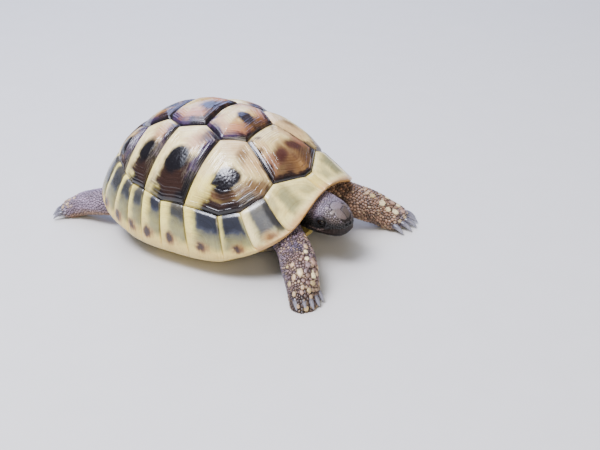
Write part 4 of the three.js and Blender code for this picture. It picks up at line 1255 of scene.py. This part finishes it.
def fleshTint(points, normals, part, along):
    patch = bumps(points, 8, 5)[:, None]
    share = {name: (part == i).astype(float)[:, None] for i, name in enumerate(partNames)}
    lower = along[:, None]
    brown = stained(palette["brown"], "umber", patch, 0.1, 0.9)
    mauve = stained(palette["violet"], "mauve", patch, -0.4, 0.3)
    mauve = stained(mauve, "brown", lower + 0.4 * patch + 0.25 * normals[:, 0:1], 0.4, 0.8, 0.65)
    mauve = stained(mauve, "umber", lower, 0.55, 0.9, 0.8)
    rose = stained(palette["rose"], "mauve", patch, -0.3, 0.4)
    # Browner and darker where the hind leg faces down: painted shade on its underside.
    rose = stained(rose, "brown", -normals[:, 2:3], -0.1, 0.5)
    base = np.tile(palette["neck"], (len(points), 1))
    colours = {"front_left": brown, "front_right": mauve, "hind_right": rose, "hind_left": brown}
    for name, colour in colours.items():
        base = mix(base, colour, share[name])
    base = mix(base, palette["umber"], share["tail"] * 0.8)
    toes = smooth(lower, 0.8, 0.93) * (share["front_left"] + share["hind_left"] + share["hind_right"])
    base = mix(base, palette["toe"], toes * 0.8)
    local = toHead(points)
    face = stained(palette["crown"], "snout", local[:, 0:1] + patch, 4, 9)
    face = stained(face, "smudge", bumps(points, 3.5, 31)[:, None], 0.15, 0.6, 0.7)
    # Near black below: partly the head's own dark colour, partly painted shade on its lower side.
    face = mix(palette["cheek"], face, smooth(local[:, 2:3] + 0.8 * patch, 1, 6))
    # Painted shade darkens the lids round the eyes; and the pale fold runs under the eye to the beak.
    face = face * mix(0.4, 1, smooth(fromEye(local)[:, None], 2.6, 4.4))
    fold = ridge(local[:, 2] - beakTop(local[:, 0]), 0.2, 0.4, 1)
    fold = fold * smooth(local[:, 0], -3, 0) * (1 - smooth(local[:, 0], 7, 10)) * (np.abs(local[:, 1]) > 3)
    face = mix(face, palette["lip"], 0.75 * fold[:, None])
    return mix(base, face, share["head"])


def scaleTint(points, normals, part, along, big, radius):
    # Each scale has its own shade; the shields run from horn tan to cream.
    tint = fleshTint(points, normals, part, along)
    own = dice.random((len(points), 3))
    foreleg = onPart(part, "front_right", "front_left")[:, None]
    tint = stained(tint, "tan", own[:, :1] + 0.25 * along[:, None], 0.75, 1.05, 0.65, foreleg)
    tint = stained(tint, "umber", own[:, 1:2], 0.55, 0.85, 0.8, foreleg)
    shield = smooth(big, 0.25, 0.6)[:, None]
    tint = mix(tint, mix(palette["tan"], palette["stone"], own[:, :1]), shield * 0.8)
    onHead = onPart(part, "head")[:, None]
    # Painted highlight: some of the upward-facing head scales take the pale crown colour.
    paintedTopHighlight = 0.6 * onHead * smooth(own[:, 1:2], 0.6, 0.9) * smooth(normals[:, 2:3], 0.2, 0.6)
    tint = mix(tint, palette["crown"], paintedTopHighlight)
    tint = mix(tint, palette["plate"], onHead * (radius > 1.1)[:, None] * 0.6)
    # Painted shade darkens the small scales low on the right foreleg.
    lowForelegShade = onPart(part, "front_right")[:, None] * smooth(along[:, None], 0.6, 0.85)
    return tint * (0.66 + 0.56 * own[:, 2:3]) * (1 - 0.3 * lowForelegShade * (1 - shield))


# The bare beak with its streaks, the pale line over the mouth, painted shade between the scales, and painted
# shade in the mouth groove and the nostrils.
tint = fleshTint(points, normals, part, along)
local = toHead(points)
bare = beakShare(local) * headMask
streaks = smooth(bumps(local * np.array([3.4, 3.4, 0.3]), 1.2, 9), -0.3, 0.8)
tint = mix(tint, mix(palette["beak"], palette["lip"], beak["streaks"] * streaks[:, None]), bare[:, None])
overMouth = local[:, 2] - mouthHeight(local[:, 0])
paleAt, paleWide, paleShare = mouth["paleLip"]
lipLine = ridge(overMouth, paleAt, paleWide, 1) * smooth(-local[:, 0], -14, -6) * smooth(local[:, 0], -2, 1)
tint = mix(tint, palette["lip"], (paleShare * lipLine * headMask)[:, None])
# Painted shade darkens the skin between the scales, and the bare trunk less; the beak is spared.
tint = tint * mix(flesh["between"], 1, np.maximum(bare, 0.55 * (part < 0)))[:, None]
# Painted shade in the mouth groove and the nostril holes.
mouthNostrilShade = ridge(overMouth, 0, 0.3, 1) * smooth(local[:, 0], -1, 2)
mouthNostrilShade = np.maximum(mouthNostrilShade, ridge(fromNostril(local), 0, 0.6, 1))
tint = tint * (1 - 0.85 * mouthNostrilShade * headMask)[:, None]
setMarks(skinBody, "tint", tint)


# Reptile skin between the scales: dry soft leather, matt, and dark where it folds.
def leather(name, roughness, grain):
    material, tree, shader = newMaterial(name)
    tintNode = addNode(tree, "ShaderNodeAttribute", out="Color", attribute_name="tint")
    place = addNode(tree, "ShaderNodeTexCoord", out="Object")
    cloud = addNode(tree, "ShaderNodeTexNoise", {
        "Vector": place, "Scale": 1 / 0.0025, "Detail": 3.0, "Roughness": 0.6})
    cells = addNode(tree, "ShaderNodeTexVoronoi", {"Vector": place, "Scale": 1 / grain})
    cloudShare = addNode(tree, "ShaderNodeMapRange", {
        "Value": cloud, "From Min": 0.35, "From Max": 0.65, "To Min": 0.15, "To Max": 0.6})
    dusty = addNode(tree, "ShaderNodeMix", {0: cloudShare, 6: tintNode, 7: "#a48f82"}, 2, **asStain)
    coarse = addNode(tree, "ShaderNodeBump", {"Strength": 0.5, "Distance": 0.0002, "Height": cells})
    fine = addNode(tree, "ShaderNodeBump", {
        "Strength": 0.3, "Distance": 0.0001, "Height": cloud, "Normal": coarse})
    feed(tree, shader, {"Base Color": dusty, "Roughness": roughness, "IOR": 1.33, "Normal": fine})
    return material


skinLeather = leather("dry reptile skin", 0.62, 0.0011)
finished(skinBody, "skin", skinLeather, "trunk", "neck", "head", "lower_jaw", "tail",
         *[f"{name}_{end}" for name in limbs for end in ("leg", "foot")])
print("skin drawn over the body")

# Scales are solid little shields over the skin, side by side, free edge towards the toes.
scales = {
    "samples": 190000, "cell": 2.6,
    "spacing": 0.84, "filler": 0.62,  # distance over size, and size of those thrown in between
    "near": 44, "few": 12,  # how many neighbours bound a large and a small one
    "split": 0.2, "buried": 0.2, "corners": 5, "tilt": 0.6, "slide": 0.12,
    "from": 0.7, "inside": 9, "sole": 0.25,  # none deep under the shell, and none on the soles
    "patch": 0.003,  # size of each one's unwrap
}
# profile: share of the way out and share of the height, from the buried edge to the middle.
smallScale = {"sides": 8, "cap": 1.4, "profile": ((1, 0), (0.86, 0.78), (0.45, 1), (0, 1.02))}
shieldScale = {"sides": 15, "cap": 1.05, "profile": ((1, 0), (0.94, 0.5), (0.8, 0.86), (0.5, 1), (0, 1.06))}
plateScale = {"sides": 26, "cap": 1.9, "profile": (
    (1, 0), (0.97, 0.5), (0.92, 0.95), (0.84, 0.85), (0.76, 1.03), (0.68, 0.9), (0.58, 1.06), (0.48, 0.94),
    (0.36, 1.08), (0.24, 0.98), (0.12, 1.08), (0, 1.08))}
dice = np.random.default_rng(21)

# For each part: half the width of its small and its large scales, in millimetres; the way that the
# large ones face; from where to where along the part they take over; and the scales' height.
scaleSize = {
    "front_right": (0.64, 1.3, (0.85, -0.1, 0.2), (0.15, 0.4), 0.5),
    "front_left": (0.8, 1.1, (0.1, 0.3, 0.95), (0.2, 0.5), 0.52),
    "hind_right": (0.8, 1.4, (-0.7, -0.2, 0.4), (0.6, 0.8), 0.3),
    "hind_left": (0.8, 1.5, (-0.8, 0.2, 0.1), (0.6, 0.8), 0.3),
    "neck": (0.6, 0.6, (0, 0, 1), (0, 1), 0.16),
    "tail": (0.8, 1.1, (0, 0, 1), (0.5, 0.7), 0.22),
    "head": (0.5, 0.5, (0, 0, 1), (0, 1), 0.2),
}
# The crown of the head, which has plates and no scales. Each plate has its place ahead and aside
# in the head's frame, and half its width.
crown = {"ahead": 10.8, "long": 7.0, "wide": 5.2, "above": 3}
crownPlates = (
    (13.2, 2.6, 3.2), (13.2, -2.6, 3.2), (7.9, 0, 3.4), (9.8, 5.3, 1.5), (9.8, -5.3, 1.5),
    (5.6, 5, 1.5), (5.6, -5, 1.5), (3.4, 2, 1.6), (3.4, -2, 1.6), (0.4, 0, 1.5), (0.6, 3.6, 1.3),
    (0.6, -3.6, 1.3), (-2.4, 2, 1.1), (-2.4, -2, 1.1), (-4.6, 0, 1.1),
)
# The largest shields of the forelimbs: place, half the width, length over width, and horn.
limbShields = (
    (77.7, -34.8, 24.1, 1.5, 1.2, "tan"), (80, -38.2, 23, 1.45, 1.1, "straw"),
    (82.6, -41.5, 21.1, 1.4, 1.1, "straw"), (84.7, -44.1, 19.2, 1.5, 1.2, "lilac"),
    (85, -39.4, 19.2, 1.6, 1.4, "blush"), (88.4, -45.6, 14.9, 1.5, 1.8, "straw"),
    (82.8, -49.4, 17.3, 2.0, 1.2, "stone"), (80.8, -52.3, 15.1, 1.5, 1.25, "tan"),
    (77.7, -47.9, 19.4, 1.5, 1, "tan"), (75.2, -48.7, 18.4, 1.1, 1, "olive"),
    (79.5, -54.4, 12, 1.3, 1.3, "olive"), (90.2, -48.7, 12.1, 1.8, 1, "olive"),
    (86.9, -53.9, 11.7, 1.3, 1.1, "tan"), (85.3, -47.1, 17.4, 1.1, 1.4, "lilac"),
    (80.6, -43.6, 21.4, 1.1, 1, "blush"), (90, -52.8, 9.9, 1.6, 1, "olive"),
    (87.3, -55.7, 9.8, 1.3, 1, "blush"), (91.4, -53.6, 7.4, 1.2, 1, "tan"),
    (91, -58.1, 2.6, 1.6, 1, "olive"), (87.2, -59.5, 3.5, 1.3, 1, "tan"),
    (88.6, -42.4, 14.2, 1.2, 1.7, "tan"), (86.7, -38.7, 16, 1.2, 1.4, "tan"),
    (74.4, -28.6, 24, 1.0, 1.3, "blush"), (72.4, -25.9, 24.3, 0.9, 1.3, "tan"),
    (83.4, -55.9, 8, 1.3, 1.1, "stone"), (89.6, -44.5, 9.4, 1.3, 1.2, "tan"),
    (81, 35.6, 20.7, 2.0, 1, "olive"), (86.5, 37.4, 16.7, 2.3, 1, "straw"),
    (90, 37.8, 13, 1.7, 1.1, "straw"), (93.2, 40.1, 10.9, 2.0, 1.1, "straw"),
    (89.2, 44.2, 13.8, 1.9, 1, "blush"), (92, 46.8, 11.5, 1.7, 1, "straw"),
    (95.4, 45.8, 9.2, 1.7, 1, "blush"), (78.2, 34.5, 22.4, 1.4, 1, "tan"),
    (85.6, 44.5, 16.2, 1.4, 1.1, "straw"), (75.7, 36.6, 23.4, 1.2, 1, "tan"),
    (98.2, 44.2, 6.4, 1.4, 1, "stone"), (96.8, 50, 6.6, 1.2, 1, "stone"),
    (97.2, 39.2, 6.2, 1.3, 1, "stone"), (88.6, 49.6, 12.4, 1.5, 1.1, "tan"),
    (82.4, 41.8, 18.6, 1.3, 1, "tan"),
)


def surfaceSamples(piece, count):
    mesh = piece.data
    mesh.calc_loop_triangles()
    corners = np.zeros(len(mesh.loop_triangles) * 3, np.int32)
    mesh.loop_triangles.foreach_get("vertices", corners)
    corners = corners.reshape(-1, 3)
    places, turns = fromFrame(readPoints(piece)), readNormals(piece)
    a, b, c = (places[corners[:, i]] for i in range(3))
    area = np.linalg.norm(np.cross(b - a, c - a), axis=1) / 2
    middle = (a + b + c) / 3
    hidden = (shareOf(middle[:, :2] / shellLength) < scales["from"]) & (middle[:, 2] > scales["inside"])
    area = area * ~hidden * (middle[:, 2] > scales["sole"])
    chosen = dice.choice(len(corners), count, p=area / area.sum())
    u, v = dice.random((2, count))
    over = u + v > 1
    u, v = np.where(over, 1 - u, u), np.where(over, 1 - v, v)
    weights = np.stack([1 - u - v, u, v], 1)[:, :, None]
    return (places[corners[chosen]] * weights).sum(1), unit((turns[corners[chosen]] * weights).sum(1))


def scaleRadii(points, normals, part, along):
    radius = np.full(len(points), 0.7)
    bigness = np.zeros(len(points))
    height = np.full(len(points), 0.16)
    for i, name in enumerate(partNames):
        on = part == i
        small, large, facing, reach, height[on] = scaleSize[name]
        big = smooth(normals[on] @ unit(np.array(facing)), 0.3, 0.85) * smooth(along[on], *reach)
        if large > small:
            big = big * (0.5 + 0.6 * (bumps(points[on], 3.4, 11) > 0.0))
        bigness[on] = big if large > 1.3 else 0
        radius[on] = mix(small, large, np.clip(big, 0, 1) ** 1.4)
    return radius, np.clip(bigness, 0, 1), height


def throwScales(points, passes):
    # Keeps points in turn wherever no kept scale is too near, one pass after another.
    cell, span = scales["cell"], (-1, 0, 1)
    kept, sizes, grid = [], [], {}
    for order, radii in passes:
        for i in order:
            p, r = points[i], radii[i]
            key = (int(p[0] // cell), int(p[1] // cell), int(p[2] // cell))
            near = [k for dx in span for dy in span for dz in span
                    for k in grid.get((key[0] + dx, key[1] + dy, key[2] + dz), ())]
            if any((p[0] - x) ** 2 + (p[1] - y) ** 2 + (p[2] - z) ** 2 < (scales["spacing"] * (r + size)) ** 2
                   for x, y, z, size in near):
                continue
            kept.append(i)
            sizes.append(r)
            grid.setdefault(key, []).append((p[0], p[1], p[2], r))
    return np.array(kept), np.array(sizes)


# head and limb: the length, in millimetres, that fills a tile.
tiles = {"step": (0.25, 0.5), "size": (0.22, 0.46), "margin": 0.01, "headFrom": 18, "head": 38, "limb": 60}


def unwrapped(points, part, along):
    # The unwrap of each part: length along it against the way round it, each on its own tile.
    place = np.zeros((len(points), 2))
    for i, name in enumerate(partNames):
        on = part == i
        run = partRuns[name]
        nearest = np.rint(along[on] * (len(run[0]) - 1)).astype(int)
        off = points[on] - run[0][nearest]
        if name == "head":
            local = toHead(points[on])
            around = np.arctan2(local[:, 1], -local[:, 2])
            length = (local[:, 0] + tiles["headFrom"]) / tiles["head"]
        else:
            around = np.arctan2((off * run[4][nearest]).sum(1), (off * run[5][nearest]).sum(1))
            length = along[on] + (off * run[3][nearest]).sum(1) / tiles["limb"]
        wide, tall = tiles["size"]
        tile = np.array([i % 4 * tiles["step"][0], i // 4 * tiles["step"][1]])
        spread = np.stack([(around / math.pi + 1) / 2 * wide, np.clip(length, 0, 1) * tall], 1)
        place[on] = tile + tiles["margin"] + spread
    return place


def neighbourLimits(coat):
    # How far each scale's neighbours lie, and in which direction, in the scale's own plane.
    tree = kdtree.KDTree(len(coat["at"]))
    for i, p in enumerate(coat["at"]):
        tree.insert(p, i)
    tree.balance()
    near = np.zeros((len(coat["at"]), scales["near"]), int)
    for i, p in enumerate(coat["at"]):
        wanted = scales["near"] if coat["radius"][i] > 1 else scales["few"]
        hits = [hit[1] for hit in tree.find_n(p, wanted + 1)[1:]]
        near[i] = (hits * 4)[:scales["near"]]
    gaps = coat["at"][near] - coat["at"][:, None, :]
    distance = np.linalg.norm(gaps, axis=2)
    coat["toward"] = (gaps * coat["forward"][:, None]).sum(2) / distance
    coat["sideways"] = (gaps * coat["across"][:, None]).sum(2) / distance
    coat["border"] = distance * coat["radius"][:, None] / (coat["radius"][:, None] + coat["radius"][near])
    coat["border"][coat["solo"][:, None] & ~coat["solo"][near]] = 99


def scaleReach(take, shape, angles):
    # How far each scale goes out at each of its sides: to its cap, or to the line between it and
    # the nearest neighbour on that side.
    ahead = np.cos(angles)[None, :]
    reach = take["radius"][:, None] * shape["cap"] * (1 + (take["long"][:, None] - 1) * ahead ** 2)
    for k, angle in enumerate(angles):
        cosine = take["toward"] * math.cos(angle) + take["sideways"] * math.sin(angle)
        limit = np.where(cosine > 0.15, take["border"] / np.maximum(cosine, 0.15), 99)
        reach[:, k] = np.minimum(reach[:, k], limit.min(1))
    # A shield has blunt corners of its own; the small scales take theirs from their neighbours.
    wedge = fullTurn / scales["corners"]
    turned = (angles[None, :] + take["slant"][:, None]) % wedge - wedge / 2
    corner = 0.9 / np.cos(turned) * (1 + 0.08 * np.cos(2 * angles[None, :] + 9 * take["slant"][:, None]))
    reach = np.where(take["solo"][:, None], reach * corner, reach)
    reach = np.maximum(reach - scales["split"] / 2, 0.1)
    reach = 0.84 * reach + 0.08 * (np.roll(reach, 1, 1) + np.roll(reach, -1, 1))
    return reach * (1 + 0.3 * take["overlap"][:, None] * np.maximum(ahead, 0) ** 3)


def scalePoints(take, shape, angles):
    # Rings of points from the buried edge to the middle, each raised from the skin under it.
    reach = scaleReach(take, shape, angles)
    overlap = take["overlap"][:, None]
    way = take["forward"][:, None] * np.cos(angles)[None, :, None] \
        + take["across"][:, None] * np.sin(angles)[None, :, None]
    rings = []
    for share, rise in shape["profile"]:
        here = take["at"][:, None] + (way * (reach * share)[..., None] if share else 0 * way[:, :1])
        foot = here.reshape(-1, 3).copy()
        for j, place in enumerate(toFrame(foot)):
            foot[j] = fromFrame(skinTree.find_nearest(place)[0])
        foot = foot.reshape(here.shape)
        tilt = scales["tilt"] * overlap * np.cos(angles)[None, :] * share if share else 0
        lift = take["height"][:, None] * rise * (1 + tilt) - (scales["buried"] if not rise else 0)
        slid = overlap * take["radius"][:, None] * scales["slide"] * min(rise * 1.6, 1) + 0 * lift
        foot = foot + take["normal"][:, None] * lift[..., None]
        rings.append(foot + take["forward"][:, None] * slid[..., None])
    points = np.concatenate(rings, 1)
    points[..., 2] = np.maximum(points[..., 2], 0)
    return points


def scaleFaces(sides, levels):
    after = [(k + 1) % sides for k in range(sides)]
    faces = [(low + k, low + after[k], low + sides + after[k], low + sides + k)
             for low in range(0, (levels - 1) * sides, sides) for k in range(sides)]
    top = (levels - 1) * sides
    return faces + [(top + k, top + after[k], levels * sides) for k in range(sides)]


def coatPiece(name, coat, on, shape):
    # One mesh of many scales, the plates finely wrinkled, with painted shade round each buried edge and in
    # the plates' wrinkle grooves, and a painted highlight towards the free tip.
    count, sides, levels = int(on.sum()), shape["sides"], len(shape["profile"]) - 1
    take = {key: values[on] for key, values in coat.items()}
    angles = np.arange(sides) / sides * fullTurn
    points = scalePoints(take, shape, angles)
    pattern = scaleFaces(sides, levels)
    faces = [tuple(i * points.shape[1] + at for at in face) for i in range(count) for face in pattern]
    mesh = bpy.data.meshes.new(name)
    mesh.from_pydata(toFrame(points.reshape(-1, 3)).tolist(), [], faces)
    mesh.polygons.foreach_set("use_smooth", np.ones(len(mesh.polygons), bool))
    piece = bpy.data.objects.new(name, mesh)
    bpy.context.scene.collection.objects.link(piece)

    shares = np.array([share for share, rise in shape["profile"]])
    each = [sides] * levels + [1]
    # Painted shade: darker towards the buried edge, and on the low rings of the plates.
    shade = np.repeat(np.interp(shares, (0.3, 0.8, 0.92, 1), (1.0, 0.98, 0.7, 0.3)), each)
    if shape is plateScale:
        shade = shade * np.repeat([1.0 if k < 3 or k % 2 == 0 else 0.86 for k in range(levels + 1)], each)
    # Painted highlight: paler towards the free tip of the overlapping scales.
    tip = np.repeat(shares, each) * np.append(np.tile(np.cos(angles), levels), 0)
    shade = shade[None, :] * (1 + 0.5 * take["overlap"][:, None] * tip[None, :])
    setMarks(piece, "tint", np.clip(take["tint"][:, None, :] * shade[:, :, None], 0, 0.95).reshape(-1, 3))

    spread = np.repeat(shares, each) / 2
    turn = np.append(np.tile(angles, levels), 0)
    patch = np.stack([np.cos(turn) * spread, np.sin(turn) * spread], 1) * scales["patch"]
    patch = (take["root"][:, None, :] + patch[None]).reshape(-1, 2)
    loopPoints = np.zeros(len(mesh.loops), np.int32)
    mesh.loops.foreach_get("vertex_index", loopPoints)
    layer = mesh.uv_layers.new(name="OFBake")
    layer.data.foreach_set("uv", patch[loopPoints].astype(np.float32).ravel())
    print(name, count, "scales")
    return piece


# Scale keratin: thin, dry horn with a low sheen on its crown, scurfed down its sides.
def scaleKeratin(name, roughness):
    material, tree, shader = newMaterial(name)
    tintNode = addNode(tree, "ShaderNodeAttribute", out="Color", attribute_name="tint")
    place = addNode(tree, "ShaderNodeTexCoord", out="Object")
    grain = addNode(tree, "ShaderNodeTexNoise", {
        "Vector": place, "Scale": 1 / 0.0007, "Detail": 3.0, "Roughness": 0.65})
    grainShare = addNode(tree, "ShaderNodeMapRange", {
        "Value": grain, "From Min": 0.4, "From Max": 0.65, "To Max": 0.7})
    grained = addNode(tree, "ShaderNodeMix", {0: grainShare, 6: tintNode, 7: "#b9a796"}, 2, **asStain)
    worn = addNode(tree, "ShaderNodeMapRange", {
        "Value": grain, "From Min": 0.35, "From Max": 0.65,
        "To Min": roughness - 0.06, "To Max": roughness + 0.1})
    fine = addNode(tree, "ShaderNodeBump", {"Strength": 0.35, "Distance": 0.00006, "Height": grain})
    feed(tree, shader, {"Base Color": grained, "Roughness": worn, "IOR": 1.54, "Normal": fine})
    return material


skinTree = BVHTree.FromObject(skinBody, bpy.context.evaluated_depsgraph_get())
spots, spotNormals = surfaceSamples(skinBody, scales["samples"])
spotPart, spotAlong = placeOnBody(spots)
spotRadius, spotBig, spotHeight = scaleRadii(spots, spotNormals, spotPart, spotAlong)
spotRadius = spotRadius * (0.85 + 0.34 * dice.random(len(spots)) + 0.12 * bumps(spots, 2.4, 17))
onHead = onPart(spotPart, "head")
headSpots = toHead(spots)
toEye = fromEye(headSpots)
# Finer scales round the eyes, larger ones on the cheeks, and none on the eyes, beak and crown.
spotRadius = np.where(onHead, spotRadius * mix(0.72, 1.0, smooth(toEye, 3.5, 7)), spotRadius)
cheek = smooth(-headSpots[:, 2], -2, 3) * smooth(-headSpots[:, 0], -6, 2)
spotRadius = np.where(onHead, spotRadius * (1 + 0.5 * cheek), spotRadius)
onBeak = (beakShare(headSpots) > 0.5) | (fromNostril(headSpots) < 1.1)
crownX, crownLong, crownWide = crown["ahead"], crown["long"], crown["wide"]
onCrown = np.hypot((headSpots[:, 0] - crownX) / crownLong, headSpots[:, 1] / crownWide) < 1
onCrown = onCrown & (headSpots[:, 2] > crown["above"])
allowed = (spotPart >= 0) & ~(onHead & ((toEye < 3.0) | onBeak | onCrown))
# The plates and the shields come first, each at the spot nearest to its place.
seeds, seedKinds = [], []
for ahead, aside, size in crownPlates:
    miss = (headSpots[:, 0] - ahead) ** 2 + (headSpots[:, 1] - aside) ** 2
    seeds.append(int((miss + 99 * ((headSpots[:, 2] < 0) | ~onHead)).argmin()))
    spotRadius[seeds[-1]] = size
    seedKinds.append((1, "plate"))
for x, y, z, size, longer, horn in limbShields:
    seeds.append(int(((spots - np.array([x, y, z])) ** 2).sum(1).argmin()))
    spotRadius[seeds[-1]] = size
    spotBig[seeds[-1]] = 1
    seedKinds.append((longer, horn))
order = np.flatnonzero(allowed)
bigFirst = order[np.argsort(-np.round(spotRadius[order], 1) + 0.1 * dice.random(len(order)), kind="stable")]
filling = dice.permutation(order)
kept, keptRadius = throwScales(spots, (
    (seeds, spotRadius * 0.8), (bigFirst, spotRadius), (filling, spotRadius * scales["filler"])))
seedCount = int(np.isin(kept, seeds).sum())
keptRadius[:seedCount] = spotRadius[kept[:seedCount]]
keptKinds = [seedKinds[seeds.index(i)] for i in kept[:seedCount]]

coat = {"at": spots[kept], "normal": spotNormals[kept], "radius": keptRadius}
coatPart, coatAlong, coatBig = spotPart[kept], spotAlong[kept], spotBig[kept]
coatBig = coatBig * smooth(keptRadius, 0.9, 1.2)
coat["long"] = np.ones(len(kept))
coat["long"][:seedCount] = [longer for longer, horn in keptKinds]
isPlate = np.zeros(len(kept), bool)
isPlate[:seedCount] = [horn == "plate" for longer, horn in keptKinds]
coat["solo"] = (np.arange(len(kept)) < seedCount) & ~isPlate
lie = np.zeros((len(kept), 3))
for i, name in enumerate(partNames):
    on = coatPart == i
    if name == "head":
        lie[on] = fromHead(np.array([[-1.0, 0, 0]])) - headMiddle
    else:
        run = partRuns[name]
        nearest = np.rint(coatAlong[on] * (len(run[0]) - 1)).astype(int)
        lie[on] = run[3][nearest]
coat["forward"] = unit(lie - coat["normal"] * (lie * coat["normal"]).sum(1, keepdims=True))
coat["across"] = np.cross(coat["normal"], coat["forward"])
coat["height"] = spotHeight[kept] * (1 + 0.4 * coatBig) * (0.7 + 0.3 * smooth(keptRadius, 0.3, 0.6))
overlap = np.select([onPart(coatPart, "head"), onPart(coatPart, "neck")], [0.0, 0.3], 1.0)
coat["overlap"] = overlap * (1 - 0.4 * coatBig)
coat["slant"] = dice.random(len(kept)) * fullTurn
coat["root"] = unwrapped(coat["at"], coatPart, coatAlong)
coat["tint"] = scaleTint(coat["at"], coat["normal"], coatPart, coatAlong, coatBig, keptRadius)
for i, (longer, horn) in enumerate(keptKinds):
    if horn != "plate":
        coat["tint"][i] = palette[horn] * (0.88 + 0.2 * dice.random())
neighbourLimits(coat)

scaleHorn = scaleKeratin("scale keratin", 0.4)
isShield = (coatBig > 0.4) & ~isPlate
for coatName, members, chosen, shape, slotName in (
        ("right_forelimb_scales", ("front_right",), ~isShield, smallScale, "skin"),
        ("left_forelimb_scales", ("front_left",), ~isShield, smallScale, "skin"),
        ("hindlimb_scales", ("hind_right", "hind_left", "tail"), ~isShield, smallScale, "skin"),
        ("limb_shields", tuple(limbs) + ("tail",), isShield, shieldScale, "skin"),
        ("neck_scales", ("neck",), ~isPlate, smallScale, "skin"),
        ("head_scales", ("head",), ~isPlate, smallScale, "head_skin"),
        ("head_plates", ("head",), isPlate, plateScale, "head_skin")):
    on = onPart(coatPart, *members) & chosen
    finished(coatPiece(coatName, coat, on, shape), slotName, scaleHorn)

# Each claw is a bent cone: arch is the height of its bend, back how far it starts inside the toe.
claw = {"columns": 18, "rows": 18, "arch": 1.3, "back": 0.8, "wide": 0.92, "top": 0.95, "sole": 0.72,
        "root": "#39343a", "tip": "#85848f"}


def clawPlace(root, way, tip, aside, radius):
    root = root - way * claw["back"]
    knee = (root + tip) / 2 + np.array([0, 0, claw["arch"]])
    over = unit(np.cross(unit(tip - root), aside))

    def place(column, row):
        t = row / claw["rows"]
        bend = 2 * ((1 - t) * t)[:, None] * (2 * knee - (root + tip) / 2)
        centre = (1 - t)[:, None] ** 2 * root + bend + (t ** 2)[:, None] * tip
        size = radius * (1 - t ** 2.4) ** 0.7 * (row > 0)
        angle = column / claw["columns"] * fullTurn
        flat = np.where(np.sin(angle) < 0, claw["sole"], claw["top"])
        points = centre + aside * (np.cos(angle) * size * claw["wide"])[:, None]
        return points + over * (np.sin(angle) * size * flat)[:, None], {"run": t}

    return place


claws = []
for name, limb in limbs.items():
    for root, way, tip, aside in clawRoots(limb["claws"]):
        place = clawPlace(root, way, tip, aside, limb["claws"]["radius"])
        claws.append(laidGrid(name + "_claw", claw["columns"], claw["rows"], place))
clawPiece = joined("claws", claws)

# Claw keratin: smooth blue-grey horn, polished by walking, paler and clearer to its tip.
clawHorn, tree, shader = newMaterial("claw keratin")
run = addNode(tree, "ShaderNodeAttribute", out="Fac", attribute_name="run")
place = addNode(tree, "ShaderNodeTexCoord", out="Object")
streak = addNode(tree, "ShaderNodeTexNoise", {"Vector": place, "Scale": 1 / 0.0012, "Detail": 3.0})
runShift = addNode(tree, "ShaderNodeMath", {0: streak, 1: 0.4, 2: run}, operation="MULTIPLY_ADD")
toTip = addNode(tree, "ShaderNodeMapRange", {"Value": runShift, "From Min": 0.35, "From Max": 1.0})
cleared = addNode(tree, "ShaderNodeMix", {0: toTip, 6: claw["root"], 7: claw["tip"]}, 2, **asColours)
worn = addNode(tree, "ShaderNodeMapRange", {
    "Value": streak, "From Min": 0.3, "From Max": 0.7, "To Min": 0.2, "To Max": 0.36})
grain = addNode(tree, "ShaderNodeBump", {"Strength": 0.3, "Distance": 0.0001, "Height": streak})
feed(tree, shader, {"Base Color": cleared, "Roughness": worn, "IOR": 1.54, "Normal": grain})
finished(clawPiece, "claw_horn", clawHorn)
print("claws set")

# iris and pupil: degrees from the gaze, and how soft their edge is; bulge: that of the cornea.
eyeball = {"columns": 48, "rows": 32, "iris": (52, 3.0), "pupil": (24, 2.0), "bulge": (38, 0.035)}

# Wet cornea over a dark brown iris: the whole ball reads black but for its sharp highlight.
eyeWet, tree, shader = newMaterial("wet eye")
gazeAngle = addNode(tree, "ShaderNodeAttribute", out="Fac", attribute_name="gaze")
place = addNode(tree, "ShaderNodeTexCoord", out="Object")
streak = addNode(tree, "ShaderNodeTexNoise", {"Vector": place, "Scale": 1 / 0.0005, "Detail": 3.0})
iris = addNode(tree, "ShaderNodeMix", {0: streak, 6: "#0c0908", 7: "#24170e"}, 2, **asColours)
irisEdge, pupilEdge = (addNode(tree, "ShaderNodeMapRange", {
    "Value": gazeAngle, "From Min": ring - soft, "From Max": ring + soft}, interpolation_type="SMOOTHSTEP")
    for ring, soft in (eyeball["iris"], eyeball["pupil"]))
outer = addNode(tree, "ShaderNodeMix", {0: irisEdge, 6: iris, 7: "#171210"}, 2, **asColours)
ball = addNode(tree, "ShaderNodeMix", {0: pupilEdge, 6: "#050506", 7: outer}, 2, **asColours)
feed(tree, shader, {"Base Color": ball, "Roughness": 0.06, "IOR": 1.38})


def eyePlace(side):
    middle = fromHead(np.array([[head["eye"][0], head["eye"][1] * side, head["eye"][2]]]))[0]
    gaze = (eyeGaze * np.array([1, side, 1])) @ headTurn.T
    over = unit(np.cross(gaze, np.array([0, 0, 1.0])))
    third = np.cross(gaze, over)
    bulgeWide, bulgeHigh = eyeball["bulge"]

    def place(column, row):
        polar = row / eyeball["rows"] * math.pi
        angle = column / eyeball["columns"] * fullTurn
        radius = head["eyeRadius"] * (1 + ridge(polar, 0, math.radians(bulgeWide), bulgeHigh))
        points = middle + gaze * (np.cos(polar) * radius)[:, None]
        points = points + over * (np.sin(polar) * np.cos(angle) * radius)[:, None]
        points = points + third * (np.sin(polar) * np.sin(angle) * radius)[:, None]
        return points, {"gaze": np.degrees(polar)}

    return place


for side, sideName in ((1, "left"), (-1, "right")):
    piece = laidGrid(f"eye_{sideName}_ball", eyeball["columns"], eyeball["rows"], eyePlace(side))
    finished(piece, "eye", eyeWet, f"eye_{sideName}")
print("eyes set")
